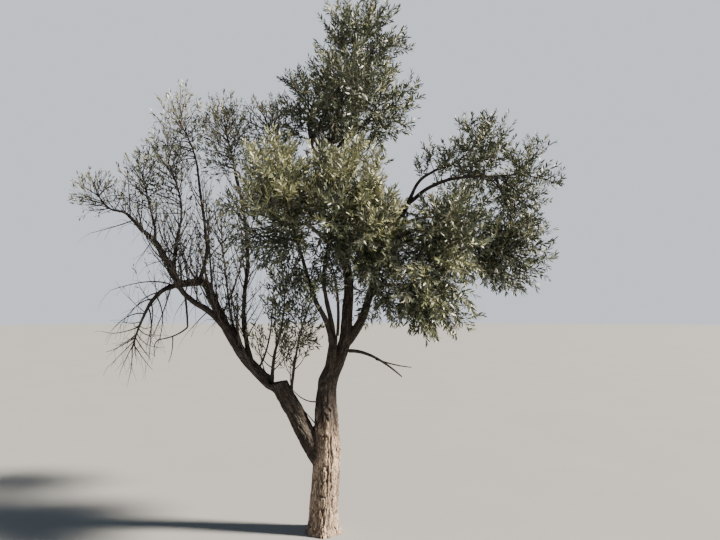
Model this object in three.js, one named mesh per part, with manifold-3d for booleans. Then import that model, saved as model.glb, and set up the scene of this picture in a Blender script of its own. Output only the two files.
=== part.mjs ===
// A small old olive tree, cut flat at ground level: a fluted trunk, a sawn log that leans left and
// carries a nearly bare bough, a leader, an arching right bough, and masses of narrow leaves.
// Millimetres, +Z up, ground at Z = 0, the front towards -Y.
import * as THREE from "three";
import { mergeVertices } from "three/addons/utils/BufferGeometryUtils.js";
import Module from "manifold-3d";

const wasm = await Module();
wasm.setup();

// Driving dimensions. Every place and reach below is a share of TREE_HEIGHT,
// and every limb's radius is a share of TRUNK_RADIUS.
const TREE_HEIGHT = 4200;
const TRUNK_RADIUS = 104;
const SPRAY_LENGTH = 280;
const SPRAY_WIDTH = 88;
const SPRAY_THICKNESS = 5;
const TWIG_RADIUS = 4.5;

// The root flare: how much wider the foot is, how fast that fades upwards, and its lobes.
const FLARE_SHARE = 0.3;
const FLARE_HEIGHT = 65;
const LOBE_COUNT = 5;
const LOBE_SHARE = 0.07;
const LOBE_HEIGHT = 420;

// Faceting.
const TRUNK_SIDES = 12;
const BOUGH_SIDES = 8;
const LIMB_SIDES = 6;
const TWIG_SIDES = 3;
const BOUGH_SHARE = 0.3;
const RING_STEP = 170;

// Solids that meet keep this gap, and twigs keep the wider one from the limbs that they pass.
const CLEARANCE = 0.3;
const LIMB_MARGIN = 4;
const SAMPLE_STEP = 15;
const SPACE_MARGIN = 0.03;

// A twig or spray that would leave an edge too short to keep is set again a hair higher or lower.
const SHORTEST_EDGE = 0.02;
const NUDGES = [0, 0.2, -0.2, 0.4];

// Corners closer than this are one corner.
const SAME_PLACE = 0.001;

// The seeds of the masses' random draws, and how many numbers a draw has to choose from.
const FIRST_SEED = 101;
const SEED_STEP = 17;
const DRAW_RANGE = 2 ** 32;

// A mass's stem: how far it runs straight on, how far above its middle it ends,
// and how much thicker than a twig it is there.
const STEM_LEAD = 0.45;
const STEM_RISE = 0.25;
const STEM_TIP_SHARE = 1.7;
const STEM_RINGS = 3;

// A mass's branches: the stretch of the stem that they leave, how far they lean along it at first,
// how unevenly they turn, how much thinner they end, the share of a spray that they stay inside
// the edge of the space, and the marks along them that are tested for room.
const BRANCH_STRETCH = [0.3, 0.95];
const BRANCH_LEAD = 0.3;
const BRANCH_JITTER = 0.6;
const BRANCH_TIP_SHARE = 0.7;
const BRANCH_RINGS = 2;
const EDGE_ROOM = [0.42, 0.52];
const LEAST_REACH = 0.25;
const BRANCH_MARKS = [0.3, 0.5, 0.75, 1];

// A branch's sprays: the stretch that they leave, the place of the last one, the angles at which
// they splay from the branch, how far they swing round it, and how they lift and face.
const SPRAY_STRETCH = [0.4, 0.92];
const LAST_SPRAY_PLACE = 0.93;
const SPLAY = [0.95, 1.3];
const LAST_SPLAY = 0.35;
const SWING = [-0.5, 0.5];
const LIFT = 0.1;
const FACE_UP = 0.35;
const FACE_OUT = 0.2;
const ROOT_DEPTH = 0.2;

// A spray that doesn't fit is tried shorter, by these shares of its length. It keeps these shares
// of its width from limbs, from other twigs of its mass and from other sprays.
const SPRAY_SHARES = [1.12, 0.96, 0.8, 0.64];
const KEEP_OFF = { limbs: 0.5, twigs: 0.2, sprays: 0.42 };
const FREE_FROM = 0.12;
const MIDLINE = [0.25, 0.45, 0.65, 0.85, 1];

// A spray's blade: its corners as shares of its length, half width and thickness, and its faces.
const BLADE = [[0, 0, 0], [0.34, 1, 1], [0.72, 0.72, 0.6], [1, 0, 0], [0.72, -0.72, 0.6], [0.34, -1, 1]];
const BLADE_TIP = 3;
const BLADE_FACES = [
  [0, 1, 5], [1, 4, 5], [1, 2, 4], [2, 3, 4],
  [0, 3, 1], [1, 3, 2], [0, 5, 3], [5, 4, 3],
];

const GOLDEN_ANGLE = Math.PI * (3 - Math.sqrt(5));
const UP = new THREE.Vector3(0, 0, 1);

// Limbs: the limb each grows on, its girth as radii at even steps from foot to tip, and its route.
// A route's first place is drawn onto the axis of the limb below.
const LIMBS = {
  trunk: { on: null, girth: [1, 1, 1, 0.98, 0.88, 0.7, 0.5, 0.44, 0.42], route: [
    [0, 0, 0], [0, 0, 0.041], [0.003, 0, 0.09], [0.005, 0, 0.135], [0.004, 0, 0.18],
    [0.003, 0.001, 0.234], [0.01, 0.003, 0.27], [0.026, 0.006, 0.303], [0.036, 0.009, 0.335],
    [0.039, 0.01, 0.365], [0.041, 0.011, 0.402]] },
  left_log: { on: "trunk", girth: [0.74, 0.68, 0.64], route: [
    [-0.002, 0, 0.112], [-0.03, -0.005, 0.165], [-0.052, -0.01, 0.208], [-0.072, -0.013, 0.243],
    [-0.082, -0.014, 0.264]] },
  left_bough: { on: "left_log", girth: [0.44, 0.38, 0.34], route: [
    [-0.076, -0.013, 0.25], [-0.104, -0.015, 0.268], [-0.124, -0.016, 0.287], [-0.143, -0.018, 0.308],
    [-0.171, -0.02, 0.352], [-0.193, -0.019, 0.391], [-0.209, -0.014, 0.424]] },
  left_arm: { on: "left_bough", girth: [0.34, 0.26], route: [
    [-0.205, -0.014, 0.416], [-0.219, -0.014, 0.441], [-0.243, -0.014, 0.442],
    [-0.271, -0.014, 0.438]] },
  left_reach: { on: "left_arm", girth: [0.25, 0.08], route: [
    [-0.266, -0.014, 0.438], [-0.286, -0.014, 0.475], [-0.313, -0.012, 0.518], [-0.34, -0.007, 0.54],
    [-0.373, 0, 0.572], [-0.401, 0.005, 0.58]] },
  left_droop: { on: "left_arm", girth: [0.2, 0.1], route: [
    [-0.258, -0.014, 0.438], [-0.285, -0.036, 0.428], [-0.302, -0.048, 0.406],
    [-0.313, -0.052, 0.381]] },
  left_under: { on: "left_bough", girth: [0.24, 0.09], route: [
    [-0.176, -0.02, 0.36], [-0.203, -0.042, 0.39], [-0.226, -0.052, 0.406], [-0.247, -0.053, 0.425],
    [-0.264, -0.048, 0.456], [-0.268, -0.028, 0.512], [-0.269, -0.005, 0.556]] },
  front_stem: { on: "trunk", girth: [0.68, 0.62, 0.4, 0.34, 0.28], route: [
    [0, 0.001, 0.236], [0.003, -0.002, 0.265], [0.01, -0.006, 0.29], [0.014, -0.008, 0.318],
    [0.017, -0.009, 0.345]] },
  shoot_a: { on: "left_arm", girth: [0.14, 0.08], route: [
    [-0.229, -0.014, 0.441], [-0.219, -0.005, 0.496], [-0.227, 0.005, 0.551], [-0.239, 0.01, 0.616],
    [-0.246, 0.012, 0.663]] },
  shoot_c: { on: "left_reach", girth: [0.12, 0.07], route: [
    [-0.313, -0.012, 0.518], [-0.317, -0.005, 0.545], [-0.326, 0, 0.572]] },
  stem_m: { on: "left_bough", girth: [0.19, 0.1], route: [
    [-0.131, -0.017, 0.295], [-0.147, -0.005, 0.36], [-0.151, 0.007, 0.416], [-0.147, 0.014, 0.485],
    [-0.155, 0.019, 0.563], [-0.171, 0.019, 0.641]] },
  inner_left: { on: "left_bough", girth: [0.12, 0.07], route: [
    [-0.147, -0.018, 0.314], [-0.172, 0, 0.376], [-0.186, 0.024, 0.425]] },
  inner_shoot: { on: "left_bough", girth: [0.14, 0.08], route: [
    [-0.094, -0.014, 0.262], [-0.089, -0.024, 0.309], [-0.077, -0.033, 0.352]] },
  log_shoot: { on: "left_log", girth: [0.13, 0.08], route: [
    [-0.062, -0.012, 0.225], [-0.055, -0.019, 0.279], [-0.049, -0.026, 0.316]] },
  leader: { on: "trunk", girth: [0.42, 0.3, 0.2, 0.13], route: [
    [0.038, 0.009, 0.388], [0.043, 0.012, 0.443], [0.034, 0.017, 0.498], [0.017, 0.019, 0.559],
    [0.007, 0.021, 0.619], [0.007, 0.024, 0.68], [0.01, 0.024, 0.737], [0.027, 0.024, 0.806]] },
  right_bough: { on: "trunk", girth: [0.36, 0.16], route: [
    [0.033, 0.007, 0.325], [0.054, 0.007, 0.352], [0.069, 0.007, 0.378], [0.08, 0.007, 0.412],
    [0.093, 0.005, 0.455], [0.111, 0, 0.505], [0.135, -0.004, 0.553], [0.162, -0.007, 0.602]] },
  front_left: { on: "front_stem", girth: [0.21, 0.11], route: [
    [0.015, -0.008, 0.325], [0.009, -0.022, 0.352], [0.001, -0.036, 0.379], [-0.017, -0.053, 0.416],
    [-0.036, -0.075, 0.485]] },
  front_mid: { on: "front_stem", girth: [0.19, 0.11], route: [
    [0.017, -0.009, 0.338], [0.014, -0.012, 0.362], [0.009, -0.02, 0.385], [0.003, -0.034, 0.416],
    [0, -0.05, 0.447], [0.007, -0.07, 0.49]] },
  leader_left: { on: "leader", girth: [0.17, 0.1], route: [
    [0.007, 0.021, 0.64], [-0.012, 0.022, 0.68], [-0.026, 0.02, 0.705]] },
  leader_right: { on: "leader", girth: [0.19, 0.1], route: [
    [0.008, 0.024, 0.685], [0.037, 0.016, 0.722], [0.06, 0.008, 0.736]] },
  leader_front: { on: "leader", girth: [0.16, 0.1], route: [
    [0.009, 0.024, 0.72], [0.017, -0.01, 0.742], [0.026, -0.036, 0.758]] },
  high_left: { on: "leader", girth: [0.2, 0.1], route: [
    [0.019, 0.019, 0.55], [-0.033, 0.038, 0.605], [-0.077, 0.048, 0.66], [-0.098, 0.048, 0.695]] },
  mid_right: { on: "leader", girth: [0.2, 0.11], route: [
    [0.037, 0.017, 0.48], [0.057, -0.014, 0.512], [0.075, -0.04, 0.53]] },
  right_upper: { on: "right_bough", girth: [0.15, 0.09], route: [
    [0.146, -0.006, 0.575], [0.172, -0.005, 0.628], [0.201, 0, 0.652], [0.231, 0.005, 0.665]] },
  right_outer: { on: "right_bough", girth: [0.16, 0.09], route: [
    [0.155, -0.007, 0.592], [0.19, -0.014, 0.617], [0.225, -0.019, 0.631], [0.259, -0.019, 0.637],
    [0.296, -0.014, 0.64]] },
  right_mid: { on: "right_bough", girth: [0.18, 0.1], route: [
    [0.1, 0.003, 0.475], [0.127, -0.019, 0.505], [0.158, -0.038, 0.518]] },
  right_tail: { on: "right_bough", girth: [0.18, 0.09], route: [
    [0.115, 0, 0.515], [0.165, 0.004, 0.54], [0.215, 0.004, 0.535], [0.262, -0.002, 0.522]] },
  right_low: { on: "right_bough", girth: [0.2, 0.11], route: [
    [0.082, 0.007, 0.418], [0.106, -0.019, 0.436], [0.13, -0.046, 0.436]] },
  back_high: { on: "leader", girth: [0.2, 0.11], route: [
    [0.011, 0.02, 0.58], [0.018, 0.071, 0.645], [0.028, 0.115, 0.695]] },
  back_left: { on: "leader", girth: [0.21, 0.11], route: [
    [0.033, 0.017, 0.5], [-0.008, 0.071, 0.535], [-0.04, 0.115, 0.57]] },
  back_right: { on: "right_bough", girth: [0.2, 0.11], route: [
    [0.082, 0.006, 0.42], [0.095, 0.06, 0.46], [0.112, 0.11, 0.505]] },
  back_outer: { on: "right_bough", girth: [0.15, 0.09], route: [
    [0.132, -0.004, 0.548], [0.19, 0.052, 0.575], [0.238, 0.1, 0.58]] },
};

// Masses of foliage: the limb whose tip carries each, the centre and half-widths of its space,
// how many branches grow in it, how many sprays each branch bears, and the size of its sprays.
const MASSES = {
  top_crown: { tipOf: "leader", centre: [0.068, 0.024, 0.906], reach: [0.1, 0.11, 0.105],
    branches: 9, sprays: 5 },
  top_left_crown: { tipOf: "leader_left", centre: [-0.026, 0.02, 0.778], reach: [0.083, 0.1, 0.08],
    branches: 6, sprays: 5 },
  top_right_crown: { tipOf: "leader_right", centre: [0.104, 0.01, 0.778], reach: [0.08, 0.1, 0.085],
    branches: 6, sprays: 5 },
  top_front_crown: { tipOf: "leader_front", centre: [0.04, -0.075, 0.785], reach: [0.075, 0.075, 0.085],
    branches: 5, sprays: 5 },
  high_left_crown: { tipOf: "high_left", centre: [-0.118, 0.048, 0.748], reach: [0.062, 0.075, 0.07],
    branches: 4, sprays: 4, blade: 0.85 },
  mid_left_crown: { tipOf: "front_left", centre: [-0.078, -0.1, 0.573], reach: [0.092, 0.11, 0.115],
    branches: 7, sprays: 5 },
  front_crown: { tipOf: "front_mid", centre: [0.036, -0.1, 0.575], reach: [0.083, 0.1, 0.115],
    branches: 6, sprays: 5 },
  mid_right_crown: { tipOf: "mid_right", centre: [0.082, -0.071, 0.525], reach: [0.062, 0.105, 0.098],
    branches: 7, sprays: 5 },
  right_upper_crown: { tipOf: "right_upper", centre: [0.294, 0.012, 0.7], reach: [0.074, 0.1, 0.078],
    branches: 6, sprays: 5 },
  right_outer_crown: { tipOf: "right_outer", centre: [0.369, -0.005, 0.62], reach: [0.065, 0.1, 0.1],
    branches: 6, sprays: 5 },
  right_mid_crown: { tipOf: "right_mid", centre: [0.222, -0.064, 0.522], reach: [0.084, 0.1, 0.082],
    branches: 6, sprays: 5 },
  right_tail_crown: { tipOf: "right_tail", centre: [0.338, -0.007, 0.5], reach: [0.085, 0.1, 0.078],
    branches: 6, sprays: 5 },
  right_low_crown: { tipOf: "right_low", centre: [0.186, -0.09, 0.418], reach: [0.085, 0.1, 0.078],
    branches: 6, sprays: 5 },
  left_high_crown: { tipOf: "stem_m", centre: [-0.199, 0.019, 0.728], reach: [0.058, 0.075, 0.088],
    branches: 5, sprays: 4, blade: 0.8 },
  left_shoots_a: { tipOf: "shoot_a", centre: [-0.284, 0.012, 0.73], reach: [0.055, 0.07, 0.095],
    branches: 5, sprays: 3, blade: 0.7 },
  left_shoots_b: { tipOf: "left_under", centre: [-0.3, 0, 0.65], reach: [0.05, 0.07, 0.1],
    branches: 5, sprays: 3, blade: 0.7 },
  left_shoots_c: { tipOf: "shoot_c", centre: [-0.347, 0, 0.636], reach: [0.04, 0.055, 0.062],
    branches: 4, sprays: 3, blade: 0.6 },
  far_left_crown: { tipOf: "left_reach", centre: [-0.434, 0.005, 0.606], reach: [0.047, 0.055, 0.047],
    branches: 4, sprays: 3, blade: 0.6 },
  left_inner_crown: { tipOf: "inner_left", centre: [-0.204, 0.034, 0.525], reach: [0.055, 0.067, 0.095],
    branches: 4, sprays: 3, blade: 0.7 },
  inner_shoots: { tipOf: "inner_shoot", centre: [-0.07, -0.045, 0.42], reach: [0.036, 0.057, 0.075],
    branches: 4, sprays: 3, blade: 0.65 },
  log_shoots: { tipOf: "log_shoot", centre: [-0.03, -0.045, 0.372], reach: [0.03, 0.05, 0.06],
    branches: 4, sprays: 2, blade: 0.55 },
  left_droop_twigs: { tipOf: "left_droop", centre: [-0.328, -0.06, 0.33], reach: [0.062, 0.06, 0.066],
    branches: 8, sprays: 0 },
  back_high_crown: { tipOf: "back_high", centre: [0.036, 0.175, 0.78], reach: [0.105, 0.105, 0.105],
    branches: 5, sprays: 5, blade: 1.2 },
  back_left_crown: { tipOf: "back_left", centre: [-0.082, 0.18, 0.64], reach: [0.1, 0.11, 0.105],
    branches: 5, sprays: 5, blade: 1.2 },
  back_right_crown: { tipOf: "back_right", centre: [0.132, 0.18, 0.54], reach: [0.105, 0.11, 0.1],
    branches: 5, sprays: 5, blade: 1.2 },
  back_outer_crown: { tipOf: "back_outer", centre: [0.29, 0.175, 0.605], reach: [0.095, 0.105, 0.095],
    branches: 5, sprays: 5, blade: 1.2 },
};

const place = (shares) => new THREE.Vector3(...shares).multiplyScalar(TREE_HEIGHT);
const between = ([low, high], share) => THREE.MathUtils.lerp(low, high, share);
const along = (from, to, share) => from.clone().lerp(to, share);

// A stream of numbers from 0 to 1, the same on every run.
function draws(seed) {
  let state = seed >>> 0;
  return () => {
    state = (state + 0x6d2b79f5) >>> 0;
    let mixed = Math.imul(state ^ (state >>> 15), state | 1);
    mixed ^= mixed + Math.imul(mixed ^ (mixed >>> 7), mixed | 61);
    return ((mixed ^ (mixed >>> 14)) >>> 0) / DRAW_RANGE;
  };
}

// Places and triangles as a solid, a closed geometry as a solid, and a solid as a geometry.
function solidFrom(positions, triangles) {
  return new wasm.Manifold(new wasm.Mesh({
    numProp: 3,
    vertProperties: new Float32Array(positions),
    triVerts: new Uint32Array(triangles),
  }));
}

function solidOf(geometry) {
  const bare = geometry.clone();
  bare.deleteAttribute("normal");
  bare.deleteAttribute("uv");
  const merged = mergeVertices(bare, SAME_PLACE);
  return solidFrom(merged.attributes.position.array, merged.index.array);
}

function geometryOf(solid) {
  const mesh = solid.getMesh();
  const geometry = new THREE.BufferGeometry();
  geometry.setAttribute("position", new THREE.BufferAttribute(mesh.vertProperties, 3));
  geometry.setIndex(new THREE.BufferAttribute(mesh.triVerts, 1));
  geometry.computeVertexNormals();
  return geometry;
}

// The largest connected piece of a solid, so that no loose scrap stays.
function largestPiece(solid) {
  return solid.decompose().reduce((a, b) => (b.volume() > a.volume() ? b : a));
}

// Whether every edge of a solid is long enough to keep.
function hasSoundEdges(solid) {
  const { vertProperties, triVerts } = solid.getMesh();
  const corner = (i) => new THREE.Vector3().fromArray(vertProperties, 3 * triVerts[i]);
  for (let i = 0; i < triVerts.length; i++) {
    const next = i % 3 === 2 ? i - 2 : i + 1;
    if (corner(i).distanceTo(corner(next)) < SHORTEST_EDGE) return false;
  }
  return true;
}

// A solid with one more part fused on, or without it where no nudge gives sound edges.
// shapePart makes the part, moved up by a nudge.
function fuse(whole, shapePart) {
  for (const nudge of NUDGES) {
    const fused = whole.add(shapePart(nudge));
    if (hasSoundEdges(fused)) return fused;
  }
  return whole;
}

// A limb or twig: a curve, its radius at each share along it, and its faceting.
// Its samples are places close together on its axis, for telling how near something passes.
function shapeTube(curve, radiusAt, sides, rings) {
  const count = Math.ceil(curve.getLength() / SAMPLE_STEP);
  const samples = Array.from({ length: count + 1 }, (_, i) => (
    { centre: curve.getPointAt(i / count), radius: radiusAt(i / count) }));
  return { curve, radiusAt, sides, rings, samples, frames: curve.computeFrenetFrames(rings, false) };
}

// The tube as a solid: a cylinder whose rings are moved to their places along the curve.
// grow swells it all round and at both ends, which makes the cutter for its neighbours,
// and nudge moves it up.
function tubeSolid({ curve, radiusAt, sides, rings, frames }, grow = 0, nudge = 0) {
  const geometry = new THREE.CylinderGeometry(1, 1, 1, sides, rings);
  const position = geometry.attributes.position;
  const point = new THREE.Vector3();
  for (let i = 0; i < position.count; i++) {
    point.fromBufferAttribute(position, i);
    const ring = Math.round((point.y + 0.5) * rings);
    const onAxis = Math.hypot(point.x, point.z) < 0.5;
    const radius = onAxis ? 0 : radiusAt(ring / rings, Math.atan2(point.z, point.x)) + grow;
    const { normal, across, tangent } = frameAt(frames, ring);
    const overshoot = ring === 0 ? -grow : ring === rings ? grow : 0;
    const centre = curve.getPointAt(ring / rings).addScaledVector(tangent, overshoot);
    centre.addScaledVector(normal, point.x * radius).addScaledVector(across, point.z * radius);
    position.setXYZ(i, centre.x, centre.y, centre.z + nudge);
  }
  return solidOf(geometry);
}

function frameAt(frames, ring) {
  const normal = frames.normals[ring];
  const tangent = frames.tangents[ring];
  return { normal, tangent, across: normal.clone().cross(tangent) };
}

// A seat on a tube: a place on its faceted axis, the way it runs there,
// and the way out through the middle of one of its flat sides.
function seatOn({ curve, sides, rings, frames }, share, side) {
  const ring = Math.min(Math.floor(share * rings), rings - 1);
  const from = curve.getPointAt(ring / rings);
  const to = curve.getPointAt((ring + 1) / rings);
  const { normal, across } = frameAt(frames, ring);
  const turn = ((2 * side + 1) * Math.PI) / sides;
  const outward = normal.clone().multiplyScalar(Math.sin(turn)).addScaledVector(across, Math.cos(turn));
  return { at: along(from, to, share * rings - ring), heading: to.sub(from).normalize(), outward };
}

function nearestSample(tube, point) {
  return tube.samples.reduce((a, b) =>
    (b.centre.distanceToSquared(point) < a.centre.distanceToSquared(point) ? b : a));
}

function shapeLimb(name, limbs) {
  const { on, girth, route } = LIMBS[name];
  const points = route.map(place);
  if (on) points[0] = nearestSample(limbs[on], points[0]).centre;
  const curve = new THREE.CatmullRomCurve3(points, false, "catmullrom", 0.5);
  const length = curve.getLength();
  const taper = (share) => {
    const steps = share * (girth.length - 1);
    const step = Math.min(Math.floor(steps), girth.length - 2);
    return TRUNK_RADIUS * between([girth[step], girth[step + 1]], steps - step);
  };
  const fluted = (share, angle = 0) => {
    const height = share * length;
    const flare = FLARE_SHARE * Math.exp(-height / FLARE_HEIGHT);
    const lobe = LOBE_SHARE * Math.exp(-height / LOBE_HEIGHT) * Math.cos(LOBE_COUNT * angle);
    return taper(share) * (1 + flare + lobe);
  };
  const sides = on ? (girth[0] < BOUGH_SHARE ? LIMB_SIDES : BOUGH_SIDES) : TRUNK_SIDES;
  return shapeTube(curve, on ? taper : fluted, sides, Math.max(2, Math.round(length / RING_STEP)));
}

// All limbs, each cut back clear of those before it, so that a bough meets its parent at its bark.
function growLimbs() {
  const limbs = {};
  const cutters = [];
  for (const name of Object.keys(LIMBS)) {
    const limb = shapeLimb(name, limbs);
    limb.solid = largestPiece(cutters.reduce((solid, cutter) => solid.subtract(cutter), tubeSolid(limb)));
    cutters.push(tubeSolid(limb, CLEARANCE));
    limbs[name] = limb;
  }
  return limbs;
}

// How far out a point lies in a mass's space: 0 at its middle, 1 at its edge.
function spread(mass, point) {
  return point.clone().sub(mass.middle).divide(mass.halves).length();
}

// The space of a mass in millimetres, with its stem and the size of its sprays.
function shapeMass(name, { tipOf, centre, reach, branches, sprays, blade = 1 }, i, limbs) {
  const mass = {
    name, tipOf, branches, sprays, seed: FIRST_SEED + SEED_STEP * i,
    middle: place(centre), halves: place(reach),
    length: SPRAY_LENGTH * blade, width: SPRAY_WIDTH * blade,
  };
  return { ...mass, stem: shapeStem(mass, limbs) };
}

// Whether a point is in a mass's own space: inside it, and deeper in it than in any other.
function isOwn(mass, masses, point) {
  const own = spread(mass, point);
  return own <= 1 && masses.every((other) => {
    const there = other === mass ? Infinity : spread(other, point);
    return there > 1 + SPACE_MARGIN || own < there - SPACE_MARGIN;
  });
}

// Whether the straight run from one point to another passes all samples at more than a distance.
function passes(samples, from, to, distance) {
  const run = new THREE.Line3(from, to);
  const nearest = new THREE.Vector3();
  return samples.every((s) => {
    run.closestPointToPoint(s.centre, true, nearest);
    return nearest.distanceTo(s.centre) > s.radius + distance;
  });
}

// The corners of a spray: a narrow keeled blade that stands for a shoot with its leaves.
function shapeSpray(root, heading, facing, length, width) {
  const across = heading.clone().cross(facing).normalize();
  const top = across.clone().cross(heading).normalize();
  return BLADE.map(([onward, sideways, lift]) => root.clone()
    .addScaledVector(heading, onward * length)
    .addScaledVector(across, sideways * width * 0.5)
    .addScaledVector(top, lift * SPRAY_THICKNESS));
}

function spraySolid(corners, nudge) {
  return solidFrom(corners.flatMap(({ x, y, z }) => [x, y, z + nudge]), BLADE_FACES.flat());
}

// Places down the middle of a spray, for keeping others off it.
function midline(corners) {
  return MIDLINE.map((share) => ({ centre: along(corners[0], corners[BLADE_TIP], share), radius: 0 }));
}

// A mass's stem: from just beyond its bough's tip, on in the bough's own direction, to past its middle.
function shapeStem(mass, limbs) {
  const bough = limbs[mass.tipOf];
  const heading = bough.curve.getTangentAt(1);
  const start = bough.curve.getPointAt(1).addScaledVector(heading, CLEARANCE);
  const end = mass.middle.clone().addScaledVector(UP, mass.halves.z * STEM_RISE);
  const bend = start.clone().addScaledVector(heading, start.distanceTo(end) * STEM_LEAD);
  const curve = new THREE.QuadraticBezierCurve3(start, bend, end);
  const radii = [bough.radiusAt(1), STEM_TIP_SHARE * TWIG_RADIUS];
  return shapeTube(curve, (share) => between(radii, share), TWIG_SIDES, STEM_RINGS);
}

// A branch of a mass: from the stem out to one of its evenly spread directions,
// ending part of a spray's length inside the edge of the space.
function shapeBranch(mass, i, random) {
  const height = 1 - (2 * i + 1) / mass.branches;
  const turn = i * GOLDEN_ANGLE + random() * BRANCH_JITTER;
  const ring = Math.sqrt(1 - height * height);
  const outward = new THREE.Vector3(ring * Math.cos(turn), ring * Math.sin(turn), height);
  const edge = outward.clone().multiply(mass.halves);
  const room = mass.sprays ? mass.length * between(EDGE_ROOM, random()) : 0;
  const reach = Math.max(edge.length() - room, LEAST_REACH * mass.length);
  const end = mass.middle.clone().addScaledVector(edge.normalize(), reach);
  const from = between(BRANCH_STRETCH, (1 + height) / 2);
  const seats = Array.from({ length: TWIG_SIDES }, (_, side) => seatOn(mass.stem, from, side));
  const seat = seats.reduce((a, b) => (b.outward.dot(outward) > a.outward.dot(outward) ? b : a));
  const lead = BRANCH_LEAD * seat.at.distanceTo(end);
  const bend = seat.at.clone().addScaledVector(seat.heading, lead).addScaledVector(seat.outward, lead);
  const curve = new THREE.QuadraticBezierCurve3(seat.at, bend, end);
  const radiusAt = (share) => TWIG_RADIUS * between([1, BRANCH_TIP_SHARE], share);
  return { ...shapeTube(curve, radiusAt, TWIG_SIDES, BRANCH_RINGS), facing: outward };
}

// The ways in which the k-th spray of a branch may be set, best first: on its own side of the twig,
// then on the others, at each length in turn. The last spray ends the twig.
function setSpray(mass, branch, k, random) {
  const last = k === mass.sprays - 1;
  const from = last ? LAST_SPRAY_PLACE : between(SPRAY_STRETCH, k / (mass.sprays - 1));
  const splay = last ? LAST_SPLAY : between(SPLAY, random());
  const swing = between(SWING, random());
  const tries = [];
  for (const share of SPRAY_SHARES) {
    for (let turn = 0; turn < TWIG_SIDES; turn++) {
      const { at, heading, outward } = seatOn(branch, from, k + turn);
      const radial = outward.applyAxisAngle(heading, swing);
      const pointing = heading.clone().multiplyScalar(Math.cos(splay))
        .addScaledVector(radial, Math.sin(splay)).addScaledVector(UP, last ? 0 : LIFT).normalize();
      const facing = branch.facing.clone().addScaledVector(UP, FACE_UP).addScaledVector(radial, FACE_OUT);
      const root = at.addScaledVector(pointing, -ROOT_DEPTH * TWIG_RADIUS);
      tries.push(shapeSpray(root, pointing, facing, mass.length * share, mass.width));
    }
  }
  return tries;
}

// One mass: its stem, its branches, and sprays set round each branch on its flat sides.
// A branch or spray that would leave the space or touch a limb is left out.
function growMass(mass, masses, limbs) {
  const random = draws(mass.seed);
  const strangers = [
    ...Object.values(limbs).flatMap((limb) => limb.samples),
    ...masses.filter((other) => other !== mass).flatMap((other) => other.stem.samples),
  ];
  const own = (points) => points.every((point) => isOwn(mass, masses, point));
  const branches = Array.from({ length: mass.branches }, (_, i) => shapeBranch(mass, i, random));
  const kept = branches.filter(({ curve }) => {
    const marks = BRANCH_MARKS.map((share) => curve.getPointAt(share));
    return own(marks.slice(1)) && marks.slice(1).every((mark, k) =>
      passes(strangers, marks[k], mark, TWIG_RADIUS + LIMB_MARGIN));
  });
  const sprays = [];
  for (const branch of kept) {
    const twigs = [mass.stem, ...kept.filter((other) => other !== branch)].flatMap((tube) => tube.samples);
    const fits = (corners) => {
      const tip = corners[BLADE_TIP];
      const from = along(corners[0], tip, FREE_FROM);
      return own(corners.slice(1))
        && passes(strangers, from, tip, mass.width * KEEP_OFF.limbs + LIMB_MARGIN)
        && passes(twigs, from, tip, mass.width * KEEP_OFF.twigs)
        && passes(sprays.flatMap((spray) => spray.samples), from, tip, mass.width * KEEP_OFF.sprays);
    };
    for (let k = 0; k < mass.sprays; k++) {
      const corners = setSpray(mass, branch, k, random).find(fits);
      if (corners) sprays.push({ corners, samples: midline(corners) });
    }
  }
  const parts = [
    ...kept.map((branch) => (nudge) => tubeSolid(branch, 0, nudge)),
    ...sprays.map(({ corners }) => (nudge) => spraySolid(corners, nudge)),
  ];
  return largestPiece(parts.reduce(fuse, tubeSolid(mass.stem)));
}

const BARK = new THREE.MeshStandardMaterial({ color: 0x6f6052, roughness: 0.95, metalness: 0 });
const YOUNG_BARK = new THREE.MeshStandardMaterial({ color: 0x55493d, roughness: 0.9, metalness: 0 });
const LEAF = new THREE.MeshStandardMaterial({ color: 0x6b7350, roughness: 0.6, metalness: 0 });
const DRY_TWIG = new THREE.MeshStandardMaterial({ color: 0x6a5d50, roughness: 0.9, metalness: 0 });

function buildTree() {
  const tree = new THREE.Group();
  const add = (name, solid, material) => {
    const mesh = new THREE.Mesh(geometryOf(solid), material);
    mesh.name = name;
    tree.add(mesh);
  };
  const limbs = growLimbs();
  for (const [name, limb] of Object.entries(limbs)) {
    add(name, limb.solid, LIMBS[name].girth[0] > BOUGH_SHARE ? BARK : YOUNG_BARK);
  }
  const masses = Object.entries(MASSES).map(([name, mass], i) => shapeMass(name, mass, i, limbs));
  for (const mass of masses) {
    add(mass.name, growMass(mass, masses, limbs), mass.sprays ? LEAF : DRY_TWIG);
  }
  return tree;
}

export default buildTree();
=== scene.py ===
"""A small old olive tree: fissured wood grown over the limbs, and foliage grown on from their tips.

Metres, +Z up, ground at Z = 0, the front towards -Y.
"""

import math
from types import SimpleNamespace

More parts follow.
